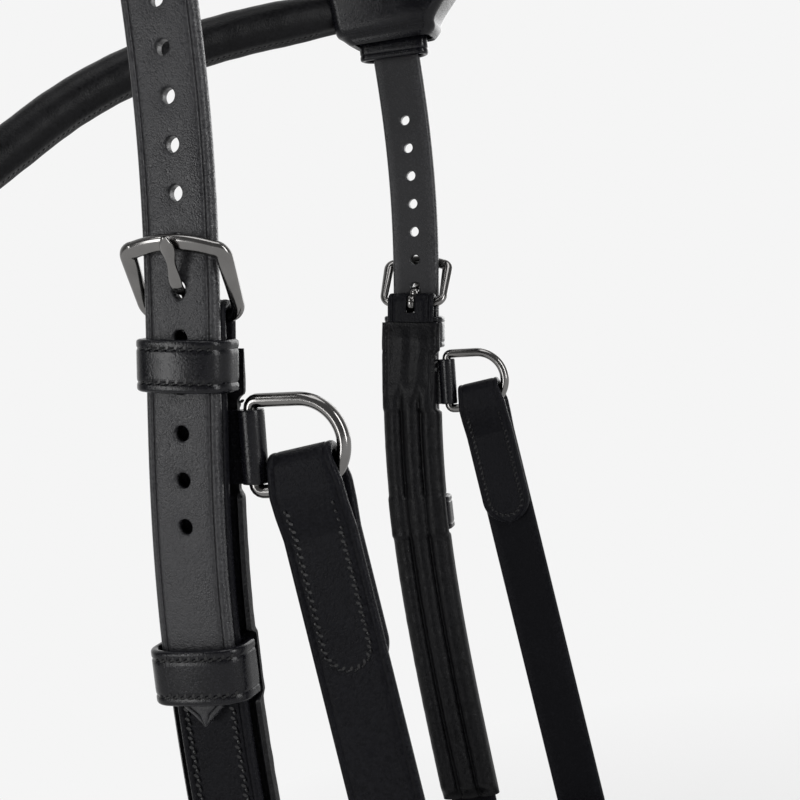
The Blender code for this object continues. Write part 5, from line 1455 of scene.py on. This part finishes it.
def tab_outlines():
    """Outer outline of the wrapped tab, a tail that runs into a circle, and the round bore."""
    half = TAB_THICK / 2
    start = atan2(half, -sqrt(TAB_SLEEVE_RADIUS**2 - half**2))
    wrap = arc(start, -start, SLEEVE_POINTS, TAB_SLEEVE_RADIUS)
    outer = np.vstack(((-TAB_TAIL, -half), (-TAB_TAIL, half), wrap, (-TAB_TAIL, -half)))
    outer = even(outer, travelled(outer)[-1] / TAB_POINTS, 2)[:TAB_POINTS]
    return outer, (DEE_WIRE_RADIUS + BAR_CLEARANCE) * rows(outer)


def make_dee_tabs():
    """Outer outline carried along, rounded at both rims, and the bore carried back."""
    station = dee_station()
    outer, bore = tab_outlines()
    soft = TAB_THICK / 3
    low, top = TAB_HALF_HEIGHT - soft, TAB_HALF_HEIGHT
    rims = [(outer * TAB_RIM_SHARES[0], top - soft / 3), (outer * TAB_RIM_SHARES[1], top), (bore, top)]
    walls = [(shape, -up) for shape, up in rims[::-1]]
    walls += [(outer, up) for up in np.linspace(-low, low, TAB_RINGS)] + rims
    rings = [at(station, shape[:, 0], up, shape[:, 1]) for shape, up in walls]
    tab = skin("left_dee_tab_leather", np.stack(rings), loop=True)
    fit_pair(tab, KEEPER_LEATHER, "bridle", "left_dee_tab")


make_dees()
make_dee_tabs()

# %% [markdown]
# ## Bit straps
# The bit strap is one ribbon. It is folded over the dee and sewn to itself, runs down, turns
# round the bit's ring in a loop, and comes back up to a hook stud. A simulation could drape
# it, but stiff bridle leather hangs nearly straight, so its line is the list of those places.
# The stitches follow the outline of the folded tail behind it.

# %% Line of the bit strap
BIT_LOOP_POINTS = 25
FOLD_ROUNDS = 1


def bit_station():
    """Frame of the bit strap, at the centre of the dee's bow where it turns."""
    dee = dee_station()
    return Frames(at(dee, DEE_STRAIGHT), np.array(((0.0, -sin(BIT_STRAP_LEAN), cos(BIT_STRAP_LEAN)),)),
                  np.array(((0.0, cos(BIT_STRAP_LEAN), sin(BIT_STRAP_LEAN)),)), dee.outward)


def bit_layers():
    """Outward places of the strap's leg, of the hook's plate and of the tail."""
    leg = HALF_FIT + BIT_STRAP_THICK / 2
    plate = leg - BIT_STRAP_THICK / 2 - FIT - HOOK_THICK / 2
    return leg, plate, plate - HOOK_THICK / 2 - FIT - BIT_STRAP_THICK / 2


def bit_table():
    """Rows of outward and up places from the upper tail over the fold and round the lower loop."""
    leg, _, tail = bit_layers()
    fold = fillet(((-FOLD_SIDE, -FOLD_DEPTH), (-FOLD_SIDE, -FOLD_TOP), (FOLD_SIDE, -FOLD_TOP),
                   (FOLD_SIDE, -FOLD_DEPTH)), FOLD_CORNER_RADIUS)
    middle = (leg + tail) / 2
    foot = -BIT_LOOP_BOTTOM + BIT_LOOP_RADIUS
    neck = -BIT_HOOK_DROP - BIT_KEEPER_GAP - BIT_KEEPER_LENGTH / 2 - FIT
    flare = fillet(((leg, neck + BIT_STRAP_THICK), (leg, neck), (middle + BIT_LOOP_RADIUS, foot)),
                   BIT_LOOP_RADIUS)
    loop = arc(0, -pi, BIT_LOOP_POINTS, BIT_LOOP_RADIUS, (middle, foot))[1:-1]
    back = (2 * middle, 0) + flare[::-1] * (-1, 1)
    closed = -FOLD_CLOSED_AT - FOLD_TOP
    top = soften(np.vstack(((-leg, closed), fold, (leg, closed))), FOLD_ROUNDS)
    level = -FOLD_CLOSED_AT - FOLD_DEPTH / 4
    return even(np.vstack(((-leg, -FOLD_TAIL_LENGTH), (-leg, level), top, (leg, level), flare, loop, back,
                           (tail, BIT_TAIL_ABOVE_HOOK - BIT_HOOK_DROP))), FINE, 2)


print("leather in a bit strap", travelled(bit_table())[-1] / MM, "mm")

# %% Bit straps
BIT_CREASE = (1.9 * MM, 0.5 * MM, 0.24 * MM)
BIT_EDGE_ROUND = 0.95 * MM
BIT_POINTS = 13
TAIL_BLUNT_SHARE = 0.01
TAIL_SEAM_CORNER_SHARE = 0.98
TAIL_SEAM_CORNER_POINTS = 20


def bit_half_widths(table):
    """Half width: narrower over the dee, a circle's end on the upper tail and a point on the lower."""
    distance = travelled(table)
    half = np.interp(-table[:, 1], (FOLD_TOP, 2 * FOLD_TOP, FOLD_FLARED_AT),
                     (FOLD_HALF_WIDTH, FOLD_HALF_WIDTH, STRAP_WIDTH / 2))
    circle = np.clip(1 - (1 - distance / POINT_LENGTH) ** 2, TAIL_BLUNT_SHARE, 1)
    rounded = STRAP_WIDTH / 2 * np.sqrt(circle)
    half = np.where(distance < POINT_LENGTH, np.minimum(half, rounded), half)
    left = distance[-1] - distance
    return np.where(left < POINT_LENGTH, pointed_half(-left, 0.0), half)


def fold_seams(station, table):
    """Outline of the folded tail, on both faces of the strap, each with its normals."""
    side, foot = STRAP_WIDTH / 2 - SEAM[0], SEAM[0] - FOLD_TAIL_LENGTH
    corner = side * TAIL_SEAM_CORNER_SHARE
    outline = even(fillet(((-side, -FOLD_DEPTH), (-side, foot), (side, foot), (side, -FOLD_DEPTH)),
                          (0.0, corner, corner, 0.0), steps=TAIL_SEAM_CORNER_POINTS), FINE, 2)
    face = (table[:, 0] > 0) & (table[:, 1] > -BIT_HOOK_DROP)
    out = np.interp(-outline[:, 1], -table[face, 1], table[face, 0]) + BIT_STRAP_THICK / 2
    return [(at(station, outline[:, 0], outline[:, 1], way * out), way * station.outward)
            for way in (1, -1)]


def make_bit_straps():
    """Ribbon through the table, its hook hole, and stitches round the folded tail."""
    station, table = bit_station(), bit_table()
    _, _, tail = bit_layers()
    section = strap_section((BIT_CREASE,), BIT_POINTS, BIT_EDGE_ROUND)
    strap = ribbon("left_bit_strap_leather", at(station, 0, table[:, 1], table[:, 0]), -station.across[0],
                   bit_half_widths(table), BIT_STRAP_THICK, section)
    punch(strap, station._replace(point=at(station, 0, -BIT_HOOK_DROP, tail)), HOLE_DIAMETER / 2,
          BIT_STRAP_THICK / 2 + FIT)
    fit_pair(strap, DARK_LEATHER, "left_bit_piece", "left_bit_strap")
    seams = stitch_rows("left_bit_strap_stitching", fold_seams(station, table), FINE_PITCH)
    fit_pair(seams, THREAD, "left_bit_piece")


make_bit_straps()

# %% [markdown]
# ### Hook studs and small keepers
# The hook stud is bent from steel strip: a plate between the strap's layers, a neck through
# the hole and a head outside. A small keeper above and one below hold the layers together.
# The stud could be turned from bar, with a round head. A bent strip lies flatter between the
# layers, so it is a narrow ribbon of changing width.

# %% Hook studs and small keepers
HOOK_EDGE_ROUND = 0.35 * MM
HOOK_POINTS = 3
HOOK_SHARES = (0.0, 0.05, 0.42, 0.5, 0.7, 0.76, 0.95, 1.0)
HOOK_WIDTHS = np.array((7.0, 8.0, 8.0, 2.4, 2.4, 4.4, 4.4, 2.6)) * MM


def make_bit_hooks():
    """Strip along the stud's line, whose width changes from plate to neck to head."""
    station = bit_station()
    _, plate, tail = bit_layers()
    out = tail - BIT_STRAP_THICK / 2 - FIT - HOOK_THICK / 2
    neck = -BIT_HOOK_DROP
    turn = soften(np.array(((plate, neck + HOOK_THICK), (plate, neck), (tail, neck), (out, neck),
                            (out, neck + HOOK_THICK))))
    line = even(np.vstack(((plate, neck + HOOK_PLATE_LENGTH), turn, (out, neck + HOOK_HEAD_LENGTH))),
                FINE / 2, 2)
    width = np.interp(travelled(line) / travelled(line)[-1], HOOK_SHARES, HOOK_WIDTHS)
    hook = ribbon("left_bit_hook_stud", at(station, 0, line[:, 1], line[:, 0]), station.across[0],
                  width / 2, HOOK_THICK, strap_section((), HOOK_POINTS, HOOK_EDGE_ROUND))
    fit_pair(hook, STAINLESS, "left_bit_piece", "left_bit_hook")


def make_bit_keepers():
    """Small keepers above and below the hook."""
    station = bit_station()
    leg, _, tail = bit_layers()
    inside = (STRAP_WIDTH / 2 + KEEPER_SIDE_ROOM, tail - BIT_STRAP_THICK / 2 - FIT,
              leg + BIT_STRAP_THICK / 2 + FIT)
    for label, way in (("upper", -1), ("lower", 1)):
        there = station._replace(point=at(station, 0, -(BIT_HOOK_DROP + way * BIT_KEEPER_GAP)))
        node_name = f"left_bit_{label}_keeper"
        make_hoop(fit_pair, f"{node_name}_leather", "left_bit_piece", node_name, there, inside,
                  BIT_KEEPER_LENGTH, CHAPE_THICK)


make_bit_hooks()
make_bit_keepers()

# %% [markdown]
# ## Noseband
# The noseband is a level band that runs round the nose in a squared ellipse, and the cheek
# straps fold round its ends. A pad of soft leather lines it, and is pressed in where a cheek
# strap passes between the two. A cylinder could be squeezed to this plan, but the same
# ribbon and cushion sections serve here, carried along a level line.

# %% Line of the noseband
NOSE_SQUARE_SHARE = 0.72
NOSE_SPOTS = 160
NOSE_STEP = 1.5 * FINE


def level_frames(line, centre_y):
    """Frames along a level curve: tangent, up, and the side that looks away from the head."""
    point = np.column_stack((line, np.full(len(line), NOSEBAND_HEIGHT)))
    along = rows(np.gradient(point, axis=0))
    outward = np.cross(along, UP)
    away = np.einsum("ij,ij->i", outward, point - (0.0, centre_y, NOSEBAND_HEIGHT))
    return Frames(point, along, np.broadcast_to(UP, point.shape), outward * np.sign(away)[:, None])


def nose_line():
    """Plan of the noseband: straight at the cheeks, then powers of sine and cosine round the nose."""
    cheek_y = sweep(NOSEBAND_HEIGHT)
    half, side, front = HALF_SPAN - CHEEK_MIDDLE, cheek_y - STRAP_WIDTH, cheek_y - NOSEBAND_FRONT_REACH
    angle = np.linspace(0, pi / 2, NOSE_SPOTS)[:-1]
    bend = np.stack((half * np.cos(angle) ** NOSE_SQUARE_SHARE,
                     side + (front - side) * np.sin(angle) ** NOSE_SQUARE_SHARE), axis=1)
    spots = np.vstack(((half, cheek_y + FIT), bend, (0.0, front)))
    return even(np.vstack((spots, spots[-2::-1] * (-1, 1))), NOSE_STEP, 2)


print("noseband", travelled(nose_line())[-1] / MM, "mm round")

# %% Noseband
NOSE_PAD_POWER = 4.0
NOSE_CHANNEL_SHARES = ((-0.78, 0.05, 0.2), (0.78, 0.05, 0.2))
NOSE_GATHERS = (8.0 * MM, 0.14 * MM)
NOSE_PAD_END_SHARE = 0.6


def make_noseband():
    """Band with a crease and a sewn line by each edge."""
    cheek_y = sweep(NOSEBAND_HEIGHT)
    line = level_frames(nose_line(), cheek_y)
    facing = np.sign((np.cross(UP, line.along[0]) * line.outward[0]).sum())
    band = ribbon("noseband_leather", line.point, facing * UP, NOSEBAND_WIDTH / 2, CHEEK_THICK,
                  strap_section((CREASE,), STRAP_POINTS, CHEEK_EDGE_ROUND))
    fit(band, BRIDLE_LEATHER, "bridle", "noseband_band")
    free = np.abs(line.point[:, 1] - cheek_y) > STRAP_WIDTH / 2 + FIT
    lines = [(at(line, side * (NOSEBAND_WIDTH / 2 - 2 * SEAM[0]), 0, CHEEK_THICK / 2)[free],
              line.outward[free]) for side in (1, -1)]
    fit(stitch_rows("noseband_stitching", lines), THREAD, "bridle")
    return line.point


def make_noseband_pad(band):
    """Cushion inside the band, a little longer, pressed in at the cheeks and thinner at its ends."""
    cheek_y = sweep(NOSEBAND_HEIGHT)
    past = (0, NOSEBAND_REAR_OVERLAP, 0)
    run = even(np.vstack((band[0] + past, band, band[-1] + past)), NOSE_STEP)
    pad = level_frames(run[:, :2], cheek_y - NOSEBAND_FRONT_REACH / 2)
    across, deep = cushion_section(NOSE_CHANNEL_SHARES, power=NOSE_PAD_POWER)
    strap = pressed(run[:, 1], cheek_y, STRAP_WIDTH / 2 + 2 * FIT, CHAPE_THICK)
    room = column((CHAPE_THICK + 2 * FIT) * strap)
    distance = column(travelled(run))
    ends = ease(np.minimum(distance, distance[-1] - distance) / NOSEBAND_PAD_THICK)
    thick = NOSEBAND_PAD_THICK * (NOSE_PAD_END_SHARE + (1 - NOSE_PAD_END_SHARE) * ends) - room
    soft = pucker(distance, across, *NOSE_GATHERS) * (deep < 0)
    depth = deep * thick - CHEEK_THICK / 2 - FIT - room + soft
    wide = np.tile(across * (NOSEBAND_WIDTH / 2 - FIT), (len(run), 1))
    cushion = skin("noseband_cushion", laid(pad, wide, depth))
    fit(cushion, LINING_LEATHER, "bridle", "noseband_padding")


make_noseband_pad(make_noseband())

# %% [markdown]
# ## Chin strap
# The chin strap closes the noseband behind the jaw. Its left part is folded round a buckle
# like the cheek's, and its right part has the holes and the point. The cheek's strap, buckle
# and holes could be copied and turned level. Making them anew by the same functions, on a
# level line, lets the strap bend round the jaw.

# %% Line of the chin strap
CHIN_CORNER_POINTS = 40
CHIN_STEP = STRAP_WIDTH / 8


def chin_plan():
    """Plan of the chin strap, with an arc of one radius at each of its four corners."""
    half = HALF_SPAN - CHEEK_MIDDLE
    start = sweep(NOSEBAND_HEIGHT) + 2 * FIT
    rear = start + CHIN_REACH
    corners = ((half, start), (half, start + CHIN_SIDE_LENGTH), (CHIN_REAR_HALF, rear),
               (-CHIN_REAR_HALF, rear), (-half, start + CHIN_SIDE_LENGTH), (-half, start))
    return even(fillet(corners, CHIN_CORNER_RADIUS, steps=CHIN_CORNER_POINTS), FINE / 2, 2)


CHIN_PLAN = chin_plan()
CHIN_RUN = travelled(CHIN_PLAN)
print("chin strap", CHIN_RUN[-1] / MM, "mm round")

# %% Chin strap
CHIN_BILLET_RINGS = 280
CHIN_BILLET_POINTS = 21


def chin_frames(distance):
    """Frames on the chin strap at distances from its left end."""
    distance = np.atleast_1d(np.asarray(distance, float))
    here, before, after = (read_at(distance + step, CHIN_RUN, CHIN_PLAN)
                           for step in (0, -CHIN_STEP, CHIN_STEP))
    along = rows(np.column_stack((after - before, 0 * distance)))
    outward = np.cross(along, UP)
    point = np.column_stack((here, np.full(len(here), NOSEBAND_HEIGHT))) - CHEEK_MIDDLE * outward
    return Frames(point, along, np.broadcast_to(UP, point.shape), outward)


def chin_layer(distance):
    """Outward place and thickness of the billet part, which comes down to the band's level."""
    beyond = CHIN_PIVOT_DISTANCE + BUCKLE_RISE + BUCKLE_TOP_HALF_HEIGHT
    lift = 1 - ease((distance - beyond) / CHIN_LAYER_DROP_LENGTH)
    return (CHEEK_MIDDLE + lift * (BILLET_MIDDLE - CHEEK_MIDDLE),
            CHEEK_THICK + lift * (BILLET_THICK - CHEEK_THICK))


def make_chin_buckle_side():
    """Left part, folded round the buckle and slotted, with its buckle and keeper."""
    pivot = chin_frames(CHIN_PIVOT_DISTANCE)
    fold = chape_fold() + (0.0, CHIN_PIVOT_DISTANCE, 0.0)
    out, distance, thick = even(np.vstack((fold, (CHEEK_MIDDLE, FIT, CHEEK_THICK))), FINE, 2)[::-1].T
    strap = ribbon("chin_buckle_strap_leather", at(chin_frames(distance), outward=out), UP, STRAP_WIDTH / 2,
                   thick, strap_section((CREASE,), BAND_POINTS, CHEEK_EDGE_ROUND))
    cut_tongue_slot(strap, pivot)
    fit(strap, BRIDLE_LEATHER, "bridle", "chin_buckle_strap")
    fit(buckle_frame("chin_buckle_bar", pivot), STAINLESS, "bridle", "chin_buckle_frame")
    fit(buckle_tongue("chin_buckle_pin", pivot), STAINLESS, "chin_tongue", "chin_buckle_tongue")
    make_hoop(fit, "chin_keeper_leather", "bridle", "chin_keeper",
              chin_frames(CHIN_PIVOT_DISTANCE - CHIN_KEEPER_PAST_PIVOT),
              (STRAP_WIDTH / 2 + KEEPER_SIDE_ROOM, -HALF_FIT, BILLET_OUTER + FIT), CHIN_KEEPER_LENGTH)


def make_chin_billet_side():
    """Right part, from its point under the keeper to its end at the right cheek."""
    tip = CHIN_PIVOT_DISTANCE - CHIN_POINT_PAST_PIVOT
    steps = np.arange(CHIN_HOLE_COUNT) - CHIN_TONGUE_HOLE
    holes = CHIN_PIVOT_DISTANCE + PIVOT_TO_TONGUE_HOLE + steps * HOLE_PITCH
    distance = np.linspace(tip, CHIN_RUN[-1] - FIT, CHIN_BILLET_RINGS)
    strap = holed_strap("chin_billet_leather", chin_frames, chin_layer, distance, tip, holes,
                        CHIN_TONGUE_HOLE, strap_section((CREASE,), CHIN_BILLET_POINTS))
    fit(strap, BRIDLE_LEATHER, "bridle", "chin_billet_strap")


make_chin_buckle_side()
make_chin_billet_side()

# %% [markdown]
# ## Floor and backdrop
# The bridle hangs before a pale backdrop in a dim studio. A lit wall behind it would throw
# light on the leather and grey it. So only the camera sees the world as a pale backdrop, and
# polished steel on the side where it stands, while the room itself stays dim. The floor does
# the same, and keeps a soft shadow close to the bridle.

# %% Floor and backdrop
PALE = (0.913, 0.913, 0.913, 1.0)
ROOM_STRENGTH = 0.25
BACKDROP_SIDE = (-0.95, -0.30, 0.0)
BACKDROP_EDGE = (-0.1, 0.5)
FLOOR_GAP = 2.0 * MM
FLOOR_HALF = 3000.0 * MM
SHADOW_NEAR = 150.0 * MM
SHADOW_FAR = 420.0 * MM
SHADOW_GLOW_SHARE = 0.6


def seen_share(tree, *shares):
    """1 for the camera's rays, the shares' product off metal or through glass, and else 0."""
    path = node(tree, "ShaderNodeLightPath").outputs
    shiny = math_node(tree, "MAXIMUM", path["Is Glossy Ray"], path["Is Transmission Ray"])
    for share in shares:
        shiny = math_node(tree, "MULTIPLY", shiny, share)
    return math_node(tree, "MAXIMUM", path["Is Camera Ray"], shiny)


def mix_to(tree, kind, share, *shaders):
    """Send a mix of two shaders to an output of a kind."""
    mix, out = node(tree, "ShaderNodeMixShader"), node(tree, kind)
    wire(tree, *zip((share, *(shader.outputs[0] for shader in shaders)), mix.inputs),
         (mix.outputs[0], out.inputs["Surface"]))


def ramp(tree, value, **ends):
    """A value carried from one range to another."""
    made = node(tree, "ShaderNodeMapRange", **ends)
    wire(tree, (value, made.inputs["Value"]))
    return made.outputs["Result"]


def make_world():
    """World that is pale on the backdrop's side, by the dot product of directions, and lights softly."""
    world = bpy.data.worlds.new("studio")
    world.use_nodes = True
    tree = world.node_tree
    tree.nodes.clear()
    towards = node(tree, "ShaderNodeVectorMath", operation="DOT_PRODUCT")
    towards.inputs[1].default_value = BACKDROP_SIDE
    wire(tree, (node(tree, "ShaderNodeTexCoord").outputs["Generated"], towards.inputs[0]))
    side = ramp(tree, towards.outputs["Value"], From_Min=BACKDROP_EDGE[0], From_Max=BACKDROP_EDGE[1])
    room, backdrop = (node(tree, "ShaderNodeBackground", Color=PALE, Strength=strength)
                      for strength in (ROOM_STRENGTH, 1.0))
    mix_to(tree, "ShaderNodeOutputWorld", seen_share(tree, side), room, backdrop)
    scene.world = world


def make_floor():
    """Pale floor just below the bridle, whose glow falls near the middle to keep a soft shadow."""
    corners = np.array(((-1, -1, 0), (1, -1, 0), (1, 1, 0), (-1, 1, 0))) * FLOOR_HALF
    floor = mesh_piece("floor", corners, [[0, 1, 2, 3]])
    floor.location.z = CAD_BOX[0][2] - FLOOR_GAP
    look = bpy.data.materials.new("pale_floor")
    look.use_nodes = True
    tree = look.node_tree
    tree.nodes.clear()
    away = node(tree, "ShaderNodeVectorMath", operation="LENGTH")
    wire(tree, (node(tree, "ShaderNodeTexCoord").outputs["Object"], away.inputs[0]))
    fade = ramp(tree, away.outputs["Value"], From_Min=SHADOW_NEAR, From_Max=SHADOW_FAR,
                To_Min=SHADOW_GLOW_SHARE)
    mix_to(tree, "ShaderNodeOutputMaterial", math_node(tree, "MULTIPLY", seen_share(tree), fade),
           node(tree, "ShaderNodeBsdfDiffuse", Color=PALE), node(tree, "ShaderNodeEmission", Color=PALE))
    floor.data.materials.append(look)
    print("floor at", floor.location.z)


make_world()
make_floor()

# %% [markdown]
# ## Light
# Black leather shows its shape only by what it mirrors. One strong lamp would leave one hard
# streak, so broad lamps are set round it: above, in front, a small one high in front for the
# steel, one on the far side, and a strip behind that draws a bright line along the straps'
# edges. Each row gives a lamp's place, its width and height in metres, and its power.

# %% Light
CENTRE = Vector((0.0, -0.03, -0.25))
LAMPS = {"top_lamp": ((0.35, 0.25, 1.05), 0.8, 0.8, 6.5),
         "rear_strip": ((0.60, 1.15, -0.1), 0.3, 1.3, 12.0),
         "front_lamp": ((1.25, -0.74, -0.08), 0.40, 0.70, 6.8),
         "far_lamp": ((-1.25, 0.35, 0.15), 0.9, 1.1, 7.0),
         "high_lamp": ((1.10, -0.62, 0.95), 0.3, 0.3, 2.2)}

for lamp_name, (lamp_place, lamp_width, lamp_height, lamp_power) in LAMPS.items():
    light = bpy.data.lights.new(lamp_name, "AREA")
    light.shape = "RECTANGLE"
    light.size, light.size_y, light.energy = lamp_width, lamp_height, lamp_power
    lamp = bpy.data.objects.new(lamp_name, light)
    lamp.location = lamp_place
    lamp.rotation_euler = (CENTRE - Vector(lamp_place)).to_track_quat("-Z", "Y").to_euler()
    scene.collection.objects.link(lamp)
    print(lamp_name, lamp_power, "watts")
